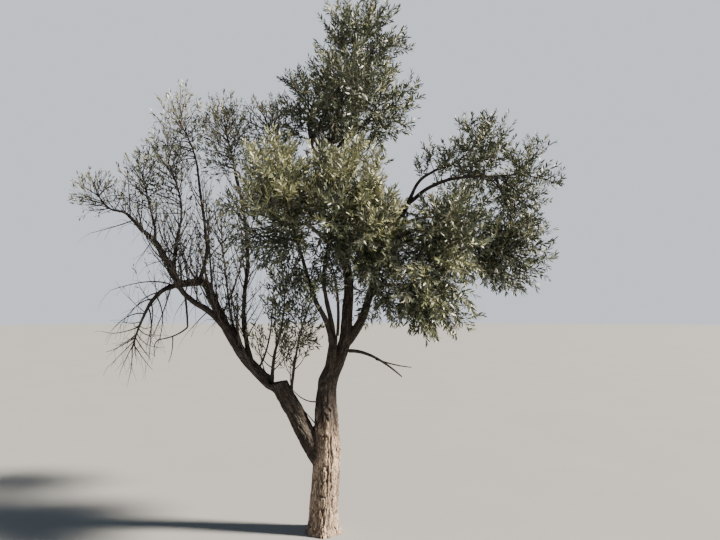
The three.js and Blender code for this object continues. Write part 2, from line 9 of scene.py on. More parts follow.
import bmesh
import bpy
import numpy as np
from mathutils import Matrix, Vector


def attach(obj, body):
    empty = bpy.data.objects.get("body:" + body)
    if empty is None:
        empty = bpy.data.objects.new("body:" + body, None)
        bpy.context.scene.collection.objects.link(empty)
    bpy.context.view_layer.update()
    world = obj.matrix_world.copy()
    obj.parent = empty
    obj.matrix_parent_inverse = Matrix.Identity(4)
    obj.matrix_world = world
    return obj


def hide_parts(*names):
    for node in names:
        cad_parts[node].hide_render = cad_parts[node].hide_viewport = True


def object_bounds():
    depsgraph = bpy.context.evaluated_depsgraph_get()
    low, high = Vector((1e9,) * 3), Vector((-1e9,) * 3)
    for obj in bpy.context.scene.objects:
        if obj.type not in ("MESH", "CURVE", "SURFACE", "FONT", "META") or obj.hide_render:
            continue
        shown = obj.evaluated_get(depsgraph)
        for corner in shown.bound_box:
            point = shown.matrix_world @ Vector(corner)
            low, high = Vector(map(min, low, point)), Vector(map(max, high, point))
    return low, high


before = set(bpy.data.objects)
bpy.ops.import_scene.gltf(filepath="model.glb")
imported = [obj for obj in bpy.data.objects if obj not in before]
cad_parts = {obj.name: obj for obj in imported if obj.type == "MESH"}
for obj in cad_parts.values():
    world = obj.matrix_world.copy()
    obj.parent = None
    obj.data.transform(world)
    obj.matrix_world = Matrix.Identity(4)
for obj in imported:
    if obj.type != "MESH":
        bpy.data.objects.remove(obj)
cad_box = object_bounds()

# Driving dimensions. Every place and reach below is in thousandths of TREE_HEIGHT,
# and every limb's radius is a share of TRUNK_RADIUS.
TREE_HEIGHT = 4.2
TRUNK_RADIUS = 0.104

# The root flare: how much wider the foot is, how fast that fades upwards, and its lobes.
FLARE_SHARE = 0.3
FLARE_HEIGHT = 0.065
LOBE_COUNT = 5
LOBE_SHARE = 0.07
LOBE_HEIGHT = 0.42

# Twigs and leaves go no further than this past the whole tree's box, and stay above the ground.
REACH_SPARE = [[-0.02, -0.02, 0.1], [0.02, 0.02, 0.02]]
REACH = np.array([list(corner) for corner in cad_box]) + REACH_SPARE

GOLDEN_ANGLE = math.pi * (3 - math.sqrt(5))
UP = np.array([0.0, 0.0, 1.0])
# The least length that a direction is worked out from.
TINY = 1e-12
# Points worked out on each span of a smooth line, and on a bend, before even steps are taken.
SPAN_POINTS = 40
BEND_POINTS = 24

# Limbs: the limb each grows on, its girth as radii at even steps from foot to tip, and its route.
LIMBS = {
    "trunk": (None, [1, 1, 1, 0.98, 0.88, 0.7, 0.5, 0.44, 0.42], [
        (0, 0, 0), (0, 0, 41), (3, 0, 90), (5, 0, 135), (4, 0, 180), (3, 1, 234), (10, 3, 270),
        (26, 6, 303), (36, 9, 335), (39, 10, 365), (41, 11, 402)]),
    "left_log": ("trunk", [0.74, 0.68, 0.64], [
        (-2, 0, 112), (-30, -5, 165), (-52, -10, 208), (-72, -13, 243), (-82, -14, 264)]),
    "left_bough": ("left_log", [0.44, 0.38, 0.34], [
        (-76, -13, 250), (-104, -15, 268), (-124, -16, 287), (-143, -18, 308), (-171, -20, 352),
        (-193, -19, 391), (-209, -14, 424)]),
    "left_arm": ("left_bough", [0.34, 0.26], [
        (-205, -14, 416), (-219, -14, 441), (-243, -14, 442), (-271, -14, 438)]),
    "left_reach": ("left_arm", [0.25, 0.08], [
        (-266, -14, 438), (-286, -14, 475), (-313, -12, 518), (-340, -7, 540), (-373, 0, 572),
        (-401, 5, 580)]),
    "left_droop": ("left_arm", [0.2, 0.1], [
        (-258, -14, 438), (-285, -36, 428), (-302, -48, 406), (-313, -52, 381)]),
    "left_under": ("left_bough", [0.24, 0.09], [
        (-176, -20, 360), (-203, -42, 390), (-226, -52, 406), (-247, -53, 425), (-264, -48, 456),
        (-268, -28, 512), (-269, -5, 556)]),
    "front_stem": ("trunk", [0.68, 0.62, 0.4, 0.34, 0.28], [
        (0, 1, 236), (3, -2, 265), (10, -6, 290), (14, -8, 318), (17, -9, 345)]),
    "shoot_a": ("left_arm", [0.14, 0.08], [
        (-229, -14, 441), (-219, -5, 496), (-227, 5, 551), (-239, 10, 616), (-246, 12, 663)]),
    "shoot_c": ("left_reach", [0.12, 0.07], [(-313, -12, 518), (-317, -5, 545), (-326, 0, 572)]),
    "stem_m": ("left_bough", [0.19, 0.1], [
        (-131, -17, 295), (-147, -5, 360), (-151, 7, 416), (-147, 14, 485), (-155, 19, 563),
        (-171, 19, 641)]),
    "inner_left": ("left_bough", [0.12, 0.07], [(-147, -18, 314), (-172, 0, 376), (-186, 24, 425)]),
    "inner_shoot": ("left_bough", [0.14, 0.08], [(-94, -14, 262), (-89, -24, 309), (-77, -33, 352)]),
    "log_shoot": ("left_log", [0.13, 0.08], [(-62, -12, 225), (-55, -19, 279), (-49, -26, 316)]),
    "leader": ("trunk", [0.42, 0.3, 0.2, 0.13], [
        (38, 9, 388), (43, 12, 443), (34, 17, 498), (17, 19, 559), (7, 21, 619), (7, 24, 680),
        (10, 24, 737), (27, 24, 806)]),
    "right_bough": ("trunk", [0.36, 0.16], [
        (33, 7, 325), (54, 7, 352), (69, 7, 378), (80, 7, 412), (93, 5, 455), (111, 0, 505),
        (135, -4, 553), (162, -7, 602)]),
    "front_left": ("front_stem", [0.21, 0.11], [
        (15, -8, 325), (9, -22, 352), (1, -36, 379), (-17, -53, 416), (-36, -75, 485)]),
    "front_mid": ("front_stem", [0.19, 0.11], [
        (17, -9, 338), (14, -12, 362), (9, -20, 385), (3, -34, 416), (0, -50, 447), (7, -70, 490)]),
    "leader_left": ("leader", [0.17, 0.1], [(7, 21, 640), (-12, 22, 680), (-26, 20, 705)]),
    "leader_right": ("leader", [0.19, 0.1], [(8, 24, 685), (37, 16, 722), (60, 8, 736)]),
    "leader_front": ("leader", [0.16, 0.1], [(9, 24, 720), (17, -10, 742), (26, -36, 758)]),
    "high_left": ("leader", [0.2, 0.1], [(19, 19, 550), (-33, 38, 605), (-77, 48, 660), (-98, 48, 695)]),
    "mid_right": ("leader", [0.2, 0.11], [(37, 17, 480), (57, -14, 512), (75, -40, 530)]),
    "right_upper": ("right_bough", [0.15, 0.09], [
        (146, -6, 575), (172, -5, 628), (201, 0, 652), (231, 5, 665)]),
    "right_outer": ("right_bough", [0.16, 0.09], [
        (155, -7, 592), (190, -14, 617), (225, -19, 631), (259, -19, 637), (296, -14, 640)]),
    "right_mid": ("right_bough", [0.18, 0.1], [(100, 3, 475), (127, -19, 505), (158, -38, 518)]),
    "right_tail": ("right_bough", [0.18, 0.09], [
        (115, 0, 515), (165, 4, 540), (215, 4, 535), (262, -2, 522)]),
    "right_low": ("right_bough", [0.2, 0.11], [(82, 7, 418), (106, -19, 436), (130, -46, 436)]),
    "back_high": ("leader", [0.2, 0.11], [(11, 20, 580), (18, 71, 645), (28, 115, 695)]),
    "back_left": ("leader", [0.21, 0.11], [(33, 17, 500), (-8, 71, 535), (-40, 115, 570)]),
    "back_right": ("right_bough", [0.2, 0.11], [(82, 6, 420), (95, 60, 460), (112, 110, 505)]),
    "back_outer": ("right_bough", [0.15, 0.09], [(132, -4, 548), (190, 52, 575), (238, 100, 580)]),
}

# Tones: the share of leaves in each tint. The dark tone is painted shade, the bright one painted
# sunlight, and the pale one silvery leaves with painted light.
TINTS = ("deep", "olive", "sage", "straw", "silver")
TONES = {
    "dark": (0.56, 0.32, 0.09, 0.02, 0.01),
    "mixed": (0.36, 0.36, 0.18, 0.07, 0.03),
    "bright": (0.03, 0.12, 0.28, 0.46, 0.11),
    "pale": (0.14, 0.14, 0.2, 0.07, 0.45),
}

# Pairs of tones: at the bottom of a space or limb, and at its top. A darker tone below and a
# lighter one above is painted shade under the foliage and painted light on its top.
SHADED = ("dark", "mixed")
LIT = ("dark", "bright")
SUNNY = ("mixed", "bright")
EVEN = ("mixed", "mixed")
SHADED_TO_SILVER = ("dark", "pale")
SILVER_AND_LIT = ("mixed", "pale")
DEEP_SHADE = ("dark", "dark")

# Masses of foliage: the limb whose tip carries each, the centre and half-widths of its space,
# how many branches the source gives it, its habit, and its tones, which paint shade low in the
# space and light high up.
MASSES = {
    "top_crown": ("leader", (68, 24, 906), (100, 110, 105), 9, "ragged", SHADED),
    "top_left_crown": ("leader_left", (-26, 20, 778), (83, 100, 80), 6, "ragged", SHADED),
    "top_right_crown": ("leader_right", (104, 10, 778), (80, 100, 85), 6, "ragged", SHADED),
    "top_front_crown": ("leader_front", (40, -75, 785), (75, 75, 85), 5, "ragged", SHADED),
    "high_left_crown": ("high_left", (-118, 48, 748), (62, 75, 70), 4, "brush", SHADED_TO_SILVER),
    "mid_left_crown": ("front_left", (-78, -100, 573), (92, 110, 115), 7, "upright", LIT),
    "front_crown": ("front_mid", (36, -100, 575), (83, 100, 115), 6, "upright", LIT),
    "mid_right_crown": ("mid_right", (82, -71, 525), (62, 105, 98), 7, "upright", SUNNY),
    "right_upper_crown": ("right_upper", (294, 12, 700), (74, 100, 78), 6, "tufted", SHADED),
    "right_outer_crown": ("right_outer", (369, -5, 620), (65, 100, 100), 6, "tufted", SHADED),
    "right_mid_crown": ("right_mid", (222, -64, 522), (84, 100, 82), 6, "dense", EVEN),
    "right_tail_crown": ("right_tail", (338, -7, 500), (85, 100, 78), 6, "dense", SHADED),
    "right_low_crown": ("right_low", (186, -90, 418), (85, 100, 78), 6, "weeping", SUNNY),
    "left_high_crown": ("stem_m", (-199, 19, 728), (58, 75, 88), 5, "brush", SILVER_AND_LIT),
    "left_shoots_a": ("shoot_a", (-284, 12, 730), (55, 70, 95), 5, "sparse", SILVER_AND_LIT),
    "left_shoots_b": ("left_under", (-300, 0, 650), (50, 70, 100), 5, "sparse", SILVER_AND_LIT),
    "left_shoots_c": ("shoot_c", (-347, 0, 636), (40, 55, 62), 4, "sparse", SILVER_AND_LIT),
    "far_left_crown": ("left_reach", (-434, 5, 606), (47, 55, 47), 4, "sparse", SILVER_AND_LIT),
    "left_inner_crown": ("inner_left", (-204, 34, 525), (55, 67, 95), 4, "sparse", SHADED),
    "inner_shoots": ("inner_shoot", (-70, -45, 420), (36, 57, 75), 4, "open", SHADED),
    "log_shoots": ("log_shoot", (-30, -45, 372), (30, 50, 60), 4, "open", SHADED),
    "left_droop_twigs": ("left_droop", (-328, -60, 330), (62, 60, 66), 8, "bare", DEEP_SHADE),
    "back_high_crown": ("back_high", (36, 175, 780), (105, 105, 105), 5, "ragged", SHADED),
    "back_left_crown": ("back_left", (-82, 180, 640), (100, 110, 105), 5, "behind", SHADED),
    "back_right_crown": ("back_right", (132, 180, 540), (105, 110, 100), 5, "behind", SHADED),
    "back_outer_crown": ("back_outer", (290, 175, 605), (95, 105, 95), 5, "behind", SHADED),
}

# Habits. finer: branches for each of the source's. reach: how far they go, as shares of the space.
# bow: how far they bend outwards. bare: the share of a branch below its first shoot. step: metres of
# branch for each shoot. shoot, leaf: least and most lengths. pair: metres between leaf pairs. kept:
# the share of leaves kept. tips: the share of a shoot that is bare below them. lift: how far shoots
# turn up, or down where it is below zero. droop: the same at the bottom of the space.
HABIT_WORDS = "finer reach bow bare step shoot leaf pair kept tips lift droop".split()
HABITS = {
    "dense": (3.6, (0.6, 0.97), 0.3, 0.2, 0.022, (0.09, 0.18), (0.04, 0.06), 0.0128, 0.94, 0, 0.3, -0.4),
    "upright": (4.3, (0.62, 0.99), 0.3, 0.2, 0.022, (0.09, 0.19), (0.04, 0.06), 0.0128, 0.94, 0, 0.85, -0.5),
    "ragged": (3.3, (0.54, 1.03), 0.25, 0.25, 0.024, (0.08, 0.18), (0.04, 0.06), 0.013, 0.9, 0, 0.45, 0),
    "tufted": (3.1, (0.56, 1.04), 0.2, 0.3, 0.023, (0.07, 0.16), (0.038, 0.058), 0.0128, 0.92, 0, 0.7, 0),
    "behind": (3.7, (0.6, 1), 0.3, 0.22, 0.034, (0.1, 0.2), (0.05, 0.07), 0.0165, 0.95, 0, 0.35, -0.2),
    "weeping": (3.8, (0.5, 1.03), 0.3, 0.22, 0.024, (0.1, 0.2), (0.04, 0.06), 0.0132, 0.92, 0, -0.35, -0.6),
    "fringe": (1, (0.6, 1), 0.3, 0.15, 0.029, (0.08, 0.17), (0.038, 0.058), 0.0138, 0.85, 0, -0.35, -0.35),
    "open": (4.6, (0.6, 1), 0.2, 0.3, 0.026, (0.08, 0.16), (0.04, 0.058), 0.0135, 0.72, 0.3, 0.75, 0.3),
    "brush": (7.2, (0.6, 1.02), 0.2, 0.25, 0.022, (0.07, 0.15), (0.036, 0.052), 0.0135, 0.75, 0.4, 0.8, 0.4),
    "sparse": (5.4, (0.6, 1.04), 0.18, 0.2, 0.025, (0.07, 0.16), (0.04, 0.058), 0.0135, 0.5, 0.5, 0.85, 0.6),
    "bare": (2, (0.8, 1), 0.3, 0.15, 0.05, (0.06, 0.14), (0.03, 0.04), 0.02, 0, 0, -0.5, -0.5),
    "whips": (1, (0.6, 1), 0.12, 0.25, 0.032, (0.05, 0.15), (0.03, 0.046), 0.016, 0.22, 0.5, 0.9, 0.9),
    "rods": (1, (0.6, 1), 0.1, 0.35, 0.034, (0.06, 0.15), (0.034, 0.05), 0.015, 0.35, 0.5, 1.6, 1.6),
}

# Twigs that grow along the limbs: the limb, the stretch that bears them, as shares of its length,
# metres of limb for each twig, their least and most lengths, their habit and tones, which paint shade
# low on the limb and light higher up.
DRESSED = [
    ("left_bough", (0.5, 0.98), 0.08, (0.12, 0.36), "whips", SHADED),
    ("left_bough", (0.04, 0.5), 0.085, (0.35, 0.75), "rods", SHADED),
    ("left_bough", (0.66, 0.98), 0.06, (0.5, 0.9), "rods", SHADED_TO_SILVER),
    ("left_arm", (0.1, 1), 0.03, (0.15, 0.45), "whips", SHADED),
    ("left_arm", (0.1, 1), 0.07, (0.35, 0.75), "rods", SHADED_TO_SILVER),
    ("left_reach", (0.1, 1), 0.024, (0.12, 0.38), "whips", SHADED_TO_SILVER),
    ("left_under", (0.15, 1), 0.026, (0.12, 0.45), "whips", SHADED_TO_SILVER),
    ("left_droop", (0.3, 1), 0.05, (0.08, 0.22), "whips", SHADED),
    ("shoot_a", (0.12, 0.75), 0.035, (0.12, 0.34), "whips", SHADED_TO_SILVER),
    ("shoot_c", (0.2, 1), 0.035, (0.1, 0.26), "whips", SHADED_TO_SILVER),
    ("stem_m", (0.1, 1), 0.03, (0.12, 0.4), "whips", SHADED_TO_SILVER),
    ("inner_left", (0.3, 1), 0.035, (0.1, 0.34), "whips", SHADED_TO_SILVER),
    ("inner_shoot", (0.2, 1), 0.03, (0.1, 0.34), "open", SHADED),
    ("log_shoot", (0.3, 1), 0.05, (0.06, 0.2), "open", SHADED),
    ("high_left", (0.45, 1), 0.045, (0.08, 0.24), "open", SHADED),
    ("leader", (0.36, 0.62), 0.05, (0.1, 0.26), "fringe", DEEP_SHADE),
    ("leader", (0.62, 1), 0.045, (0.08, 0.24), "ragged", SHADED),
    ("mid_right", (0.2, 1), 0.03, (0.12, 0.34), "fringe", DEEP_SHADE),
    ("right_upper", (0.5, 1), 0.05, (0.07, 0.16), "tufted", SHADED),
    ("right_outer", (0.35, 1), 0.045, (0.07, 0.18), "tufted", SHADED),
    ("right_bough", (0.25, 0.55), 0.05, (0.1, 0.26), "fringe", DEEP_SHADE),
    ("right_bough", (0.5, 0.72), 0.045, (0.08, 0.22), "dense", SHADED),
    ("right_low", (0.2, 1), 0.035, (0.1, 0.26), "fringe", SHADED),
    ("right_mid", (0.3, 1), 0.035, (0.1, 0.26), "fringe", SHADED),
    ("right_tail", (0.3, 1), 0.045, (0.08, 0.22), "fringe", SHADED),
    ("front_left", (0.64, 1), 0.028, (0.1, 0.28), "fringe", SHADED),
    ("front_mid", (0.64, 1), 0.03, (0.1, 0.26), "fringe", SHADED),
    ("left_droop", (0.15, 1), 0.036, (0.2, 0.45), "bare", DEEP_SHADE),
    ("left_under", (0.02, 0.4), 0.06, (0.12, 0.3), "bare", DEEP_SHADE),
    ("left_reach", (0.1, 0.9), 0.09, (0.12, 0.34), "bare", DEEP_SHADE),
]

# Single bare stems on the wood: radii at foot and tip, and from, by way of, and to.
SPURS = [
    ((0.0055, 0.0025), [(-12, -12, 186), (-24, -16, 200), (-34, -16, 212)]),
    ((0.0055, 0.0025), [(-16, -12, 228), (-40, -20, 228), (-62, -20, 258)]),
    ((0.0055, 0.0025), [(0, -25, 226), (4, -30, 234), (1, -31, 245)]),
    ((0.0065, 0.0035), [(21, 2, 342), (30, -12, 430), (3, -30, 510)]),
    ((0.0065, 0.0035), [(24, 2, 345), (34, -12, 450), (-8, -35, 520)]),
    ((0.015, 0.006), [(45, -4, 318), (85, -40, 322), (136, -62, 278)]),
    ((0.007, 0.003), [(92, -44, 306), (125, -60, 296), (150, -85, 296)]),
    ((0.009, 0.0065), [(-242, -53, 420), (-236, -56, 390), (-234, -58, 362)]),
    ((0.0065, 0.0045), [(-234, -58, 362), (-250, -62, 345), (-281, -66, 341)]),
    ((0.0045, 0.002), [(-281, -66, 341), (-291, -68, 334), (-285, -68, 312)]),
    ((0.0045, 0.002), [(-258, -62, 346), (-255, -64, 322), (-263, -64, 302)]),
]


def place(thousandths):
    return np.array(thousandths, float) / 1000 * TREE_HEIGHT


def unit(vector):
    return vector / np.maximum(np.linalg.norm(vector, axis=-1, keepdims=True), TINY)


def resample(points, step):
    """The same line with even steps along it."""
    lengths = np.concatenate([[0], np.cumsum(np.linalg.norm(np.diff(points, axis=0), axis=1))])
    count = max(2, round(lengths[-1] / step) + 1)
    marks = np.linspace(0, lengths[-1], count)
    return np.stack([np.interp(marks, lengths, points[:, axis]) for axis in range(3)], axis=1)


def smooth_line(knots, step):
    """A smooth line through all knots."""
    padded = np.vstack([2 * knots[0] - knots[1], knots, 2 * knots[-1] - knots[-2]])
    t = np.linspace(0, 1, SPAN_POINTS)[:, None]
    spans = []
    for before, start, end, after in zip(padded, padded[1:], padded[2:], padded[3:]):
        leave, arrive = (end - before) / 2, (after - start) / 2
        spans.append(start + leave * t + (3 * (end - start) - 2 * leave - arrive) * t ** 2
                     + (2 * (start - end) + leave + arrive) * t ** 3)
    return resample(np.vstack(spans), step)


def bend_line(start, bend, end, step):
    """A line from start to end that leaves and arrives heading through bend."""
    t = np.linspace(0, 1, BEND_POINTS)[:, None]
    return resample(start * (1 - t) ** 2 + bend * 2 * t * (1 - t) + end * t ** 2, step)


def carried_frames(points, guess=None):
    """Directions along a line, and two ways across it that turn as little as they can."""
    along = unit(np.gradient(points, axis=0))
    across = np.zeros_like(points)
    if guess is None:
        guess = np.eye(3)[np.argmin(np.abs(along[0]))]
    for i, heading in enumerate(along):
        guess = guess - heading * np.dot(guess, heading)
        guess = guess / np.linalg.norm(guess)
        across[i] = guess
    return along, across, np.cross(along, across)


def angles_round(sides):
    return np.arange(sides) * 2 * math.pi / sides


def outward_round(across, beside, sides):
    """For each ring, the directions from its middle to its corners."""
    angles = angles_round(sides)[:, None]
    return np.cos(angles) * across[:, None] + np.sin(angles) * beside[:, None]


def tube_arrays(points, radii, sides, first=None):
    """A closed tube as vertices and triangles. Radii are one for each ring, or one for each corner."""
    _, across, beside = carried_frames(points, first)
    radii = np.asarray(radii, float)
    if radii.ndim == 1:
        radii = np.repeat(radii[:, None], sides, axis=1)
    rings = points[:, None] + radii[..., None] * outward_round(across, beside, sides)
    vertices = np.vstack([rings.reshape(-1, 3), points[0], points[-1]])
    rim = np.arange(sides)
    onward = np.roll(rim, -1)
    starts = np.arange(len(points) - 1)[:, None] * sides
    a = (starts + rim).ravel()
    b = (starts + onward).ravel()
    walls = np.vstack([np.stack([a, b, b + sides], 1), np.stack([a, b + sides, a + sides], 1)])
    last = (len(points) - 1) * sides
    foot = np.stack([np.full(sides, last + sides), onward, rim], 1)
    head = np.stack([np.full(sides, last + sides + 1), last + rim, last + onward], 1)
    return vertices, np.vstack([walls, foot, head])


def add_tube(parts, line, radii, sides):
    """Adds a tube along a line, that tapers from one radius to the other."""
    parts.append(tube_arrays(line, np.linspace(*radii, len(line)), sides))


def join_arrays(parts):
    """Many pairs of vertices and triangles as one pair."""
    starts = np.cumsum([0] + [len(vertices) for vertices, _ in parts])
    vertices = np.vstack([vertices for vertices, _ in parts])
    return vertices, np.vstack([faces + start for (_, faces), start in zip(parts, starts)])


def add_object(name, data):
    item = bpy.data.objects.new(name, data)
    bpy.context.scene.collection.objects.link(item)
    return item


def mesh_object(name, vertices, faces, materials, slots=None, smooth=True):
    mesh = bpy.data.meshes.new(name)
    mesh.vertices.add(len(vertices))
    mesh.vertices.foreach_set("co", np.asarray(vertices, np.float32).ravel())
    mesh.loops.add(faces.size)
    mesh.loops.foreach_set("vertex_index", faces.astype(np.int32).ravel())
    mesh.polygons.add(len(faces))
    mesh.polygons.foreach_set("loop_start", np.arange(len(faces), dtype=np.int32) * 3)
    mesh.polygons.foreach_set("use_smooth", np.full(len(faces), smooth))
    for material in materials:
        mesh.materials.append(material)
    if slots is not None:
        mesh.polygons.foreach_set("material_index", slots.astype(np.int32))
    mesh.update(calc_edges=True)
    return add_object(name, mesh)


# Limbs

# Metres between a limb's rings, and how far the trunk's tube runs on below the ground.
AXIS_STEP = 0.01
GROUND_SPARE = 0.05
OLD_WOOD = ("trunk", "left_log", "left_bough", "left_arm", "front_stem", "leader", "right_bough")
SAWN = ("left_log",)
# A limb's collar: how much wider it is, and how far it reaches, as a share of the limb's radius.
COLLAR_SHARE = 0.3
COLLAR_REACH = 1.4


def shape_limb(name, limbs):
    """A limb's axis and radii. It starts on the axis of the limb that it grows on."""
    on, girth, route = LIMBS[name]
    knots = place(route)
    if on:
        knots[0] = nearest(limbs[on].axis, knots[0])
    axis = smooth_line(knots, AXIS_STEP)
    steps = np.linspace(0, len(girth) - 1, len(axis))
    radii = TRUNK_RADIUS * np.interp(steps, np.arange(len(girth)), girth)
    limb = SimpleNamespace(name=name, on=on, axis=axis, radii=radii, length=AXIS_STEP * (len(axis) - 1))
    if on:
        swell_collar(limb, limbs[on])
    limb.along, limb.across, limb.beside = carried_frames(axis)
    return limb


def nearest(points, point):
    return points[np.argmin(np.linalg.norm(points - point, axis=1))]


def swell_collar(limb, parent):
    """Widens a limb where it comes out of its parent's bark."""
    gaps = np.linalg.norm(limb.axis[:, None] - parent.axis[None], axis=2)
    out = (gaps - parent.radii[None]).min(axis=1)
    fade = np.clip(out / (COLLAR_REACH * limb.radii[0]), 0, 1)
    room = np.clip(parent.radii.min() / limb.radii[0] - 1, 0, 1)
    limb.radii = limb.radii * (1 + COLLAR_SHARE * room * (1 - fade) ** 2)


def grow_limbs():
    limbs = {}
    for name in LIMBS:
        limbs[name] = shape_limb(name, limbs)
    return limbs


# Noise

# Large factors that mix a cell's three numbers and the seed into one word of 32 bits.
CELL_FACTORS = (374761393, 668265263, 2147483647)
SEED_FACTOR = 144665
WORD = 0xFFFFFFFF
# Rounds of mixing: how far the bits shift, and the factor after that.
HASH_ROUNDS = ((13, 1274126177), (16, 2246822519), (15, 1))


def hashed(cells, seed):
    """A fixed number from -1 to 1 for each whole-number cell."""
    mixed = sum(cells[..., i] * factor for i, factor in enumerate(CELL_FACTORS))
    mixed = (mixed + seed * SEED_FACTOR) & WORD
    for shift, factor in HASH_ROUNDS:
        mixed = ((mixed ^ (mixed >> shift)) * factor) & WORD
    return mixed / 2 ** 31 - 1


def noise(points, seed):
    """Smooth noise from -1 to 1, with lumps about one unit wide."""
    cells = np.floor(points).astype(np.int64)
    part = points - cells
    part = part * part * part * (part * (part * 6 - 15) + 10)
    total = 0
    for corner in np.ndindex(2, 2, 2):
        shares = np.where(corner, part, 1 - part).prod(axis=-1)
        total = total + shares * hashed(cells + np.array(corner), seed)
    return total


# Old wood

# The size of the skin's faces, the corners of the tubes under it, and how it is smoothed.
VOXEL = 0.0054
WOOD_SIDES = 28
SMOOTHING = 5
SMOOTHING_FACTOR = 0.5
# Where limbs meet, each one's bark counts less with distance, down to the least weight. The least
# total is for points that no limb is near.
BLEND_WIDTH = 0.014
LEAST_WEIGHT = 0.0004
LEAST_TOTAL = 1e-9
# Only points within NEAR of a limb's box are measured against that limb, and all others are taken
# to be FAR from it. CHUNK points are measured at a time.
NEAR = 0.25
FAR = 9.0
CHUNK = 8000
# Bark relief: the width and length of flutes, cracks and chips on the trunk, how deep each is as a
# share of the radius, how sharp a crack is, and how far it wanders.
FLUTE_CELL = (0.075, 0.42)
CRACK_CELL = (0.017, 0.11)
CHIP_CELL = (0.012, 0.05)
FLUTE_DEPTH = 0.07
CRACK_DEPTH = 0.1
CHIP_DEPTH = 0.03
CRACK_WIDTH = 0.34
SWAY_CELL = 0.06
SWAY = 0.007
SWAY_SHIFT = 31
BARK_SEED_STEP = 40
# The stretch of height over which the trunk's pale worn bark gives way to dark bark: partly the bark's
# own colour, partly painted shade where the crown shadows the trunk.
WEAR_AND_SHADE_HEIGHTS = (0.55, 0.98)
# A saw cut: how far it turns to level, the stretch along the limb that is pressed onto it, how deep
# it lies, and its reach and its bare wood as shares of the radius.
CUT_LEVEL = 1.6
CUT_STRETCH = (-0.004, 0.06)
CUT_DEPTH = 0.003
CUT_REACH = 1.25
CUT_WOOD = 0.95
# A knot's hollow, the rim round it as shares of its radius and depth, and how much painted shade
# darkens the hollow.
HOLLOW_STEEPNESS = 1.6
RIM_AT = 1.05
RIM_WIDTH = 0.3
RIM_HEIGHT = 0.35
HOLLOW_SHADE = 0.7
# Knots on the wood: place, radius, and how deep the hollow is.
KNOTS = [
    ((13, -30, 216), 0.026, 0.011),
    ((-6, -24, 262), 0.03, 0.014),
    ((24, 4, 150), 0.03, 0.009),
    ((-10, 22, 200), 0.03, 0.01),
]


def limb_radii_round(limb, sides):
    """Radii of a limb's corners, with the root flare and lobes on the trunk."""
    radii = np.repeat(limb.radii[:, None], sides, axis=1)
    if limb.on:
        return radii
    outward = outward_round(limb.across, limb.beside, sides)
    turn = np.arctan2(-outward[..., 0], -outward[..., 1])
    height = limb.axis[:, 2:3]
    flare = FLARE_SHARE * np.exp(-height / FLARE_HEIGHT)
    lobes = LOBE_SHARE * np.exp(-height / LOBE_HEIGHT) * np.cos(LOBE_COUNT * turn)
    return radii * (1 + flare + lobes)


def wood_tube(limb):
    """A limb's tube before the bark. The trunk's runs on below the ground, to be cut there."""
    radii = limb_radii_round(limb, WOOD_SIDES)
    axis = limb.axis
    if not limb.on:
        axis = np.vstack([axis[0] - GROUND_SPARE * UP, axis])
        radii = np.vstack([radii[:1], radii])
    return tube_arrays(axis, radii, WOOD_SIDES, limb.across[0])


def remeshed(name, parts):
    """Overlapping tubes as one skin of small even faces."""
    rough = mesh_object(name, *join_arrays(parts), [])
    skin = rough.modifiers.new("skin", "REMESH")
    skin.mode = "VOXEL"
    skin.voxel_size = VOXEL
    ease = rough.modifiers.new("ease", "SMOOTH")
    ease.factor = SMOOTHING_FACTOR
    ease.iterations = SMOOTHING
    shaped = rough.evaluated_get(bpy.context.evaluated_depsgraph_get())
    mesh = bpy.data.meshes.new_from_object(shaped)
    bpy.data.objects.remove(rough)
    return add_object(name, mesh)


def read_vectors(items, what):
    values = np.zeros(len(items) * 3, np.float32)
    items.foreach_get(what, values)
    return values.reshape(-1, 3).astype(float)


def limb_coordinates(limb, points):
    """For each point: place along the limb, offsets across it, and distance from its skin."""
    along = np.zeros(len(points))
    across = np.zeros((len(points), 2))
    gap = np.full(len(points), FAR)
    low, high = limb.axis.min(0) - NEAR, limb.axis.max(0) + NEAR
    near = np.nonzero(np.all((points > low) & (points < high), axis=1))[0]
    for chunk in np.array_split(near, max(1, len(near) // CHUNK)):
        offsets = points[chunk][:, None] - limb.axis[None]
        ring = np.argmin(np.einsum("ijk,ijk->ij", offsets, offsets), axis=1)
        offset = offsets[np.arange(len(chunk)), ring]
        onward = np.einsum("ij,ij->i", offset, limb.along[ring])
        along[chunk] = ring * AXIS_STEP + onward
        sideways = offset - onward[:, None] * limb.along[ring]
        across[chunk, 0] = np.einsum("ij,ij->i", sideways, limb.across[ring])
        across[chunk, 1] = np.einsum("ij,ij->i", sideways, limb.beside[ring])
        past = np.clip(along[chunk] - limb.length, 0, None)
        out = np.linalg.norm(sideways, axis=1) - limb.radii[ring]
        gap[chunk] = np.where(out < 0, past, np.hypot(out, past))
    return along, across, gap


def bark_on_limb(limb, along, across, seed):
    """How far the bark stands out, and how deep in a crack each point lies, from 0 to 1."""
    radius = np.interp(along, np.arange(len(limb.radii)) * AXIS_STEP, limb.radii)
    scale = np.sqrt(radius / TRUNK_RADIUS)[:, None]
    spot = np.column_stack([across, along]) / SWAY_CELL
    sway = np.column_stack([noise(spot, seed), noise(spot + SWAY_SHIFT, seed)]) * SWAY

    def cells(size, moved):
        return np.column_stack([moved / (size[0] * scale), along / size[1]])

    flute = noise(cells(FLUTE_CELL, across), seed + 5)
    crack = np.clip(1 - np.abs(noise(cells(CRACK_CELL, across + sway), seed + 1)) / CRACK_WIDTH, 0, 1)
    chip = noise(cells(CHIP_CELL, across + sway), seed + 2)
    height = radius * (FLUTE_DEPTH * flute - CRACK_DEPTH * crack + CHIP_DEPTH * chip)
    return height, crack


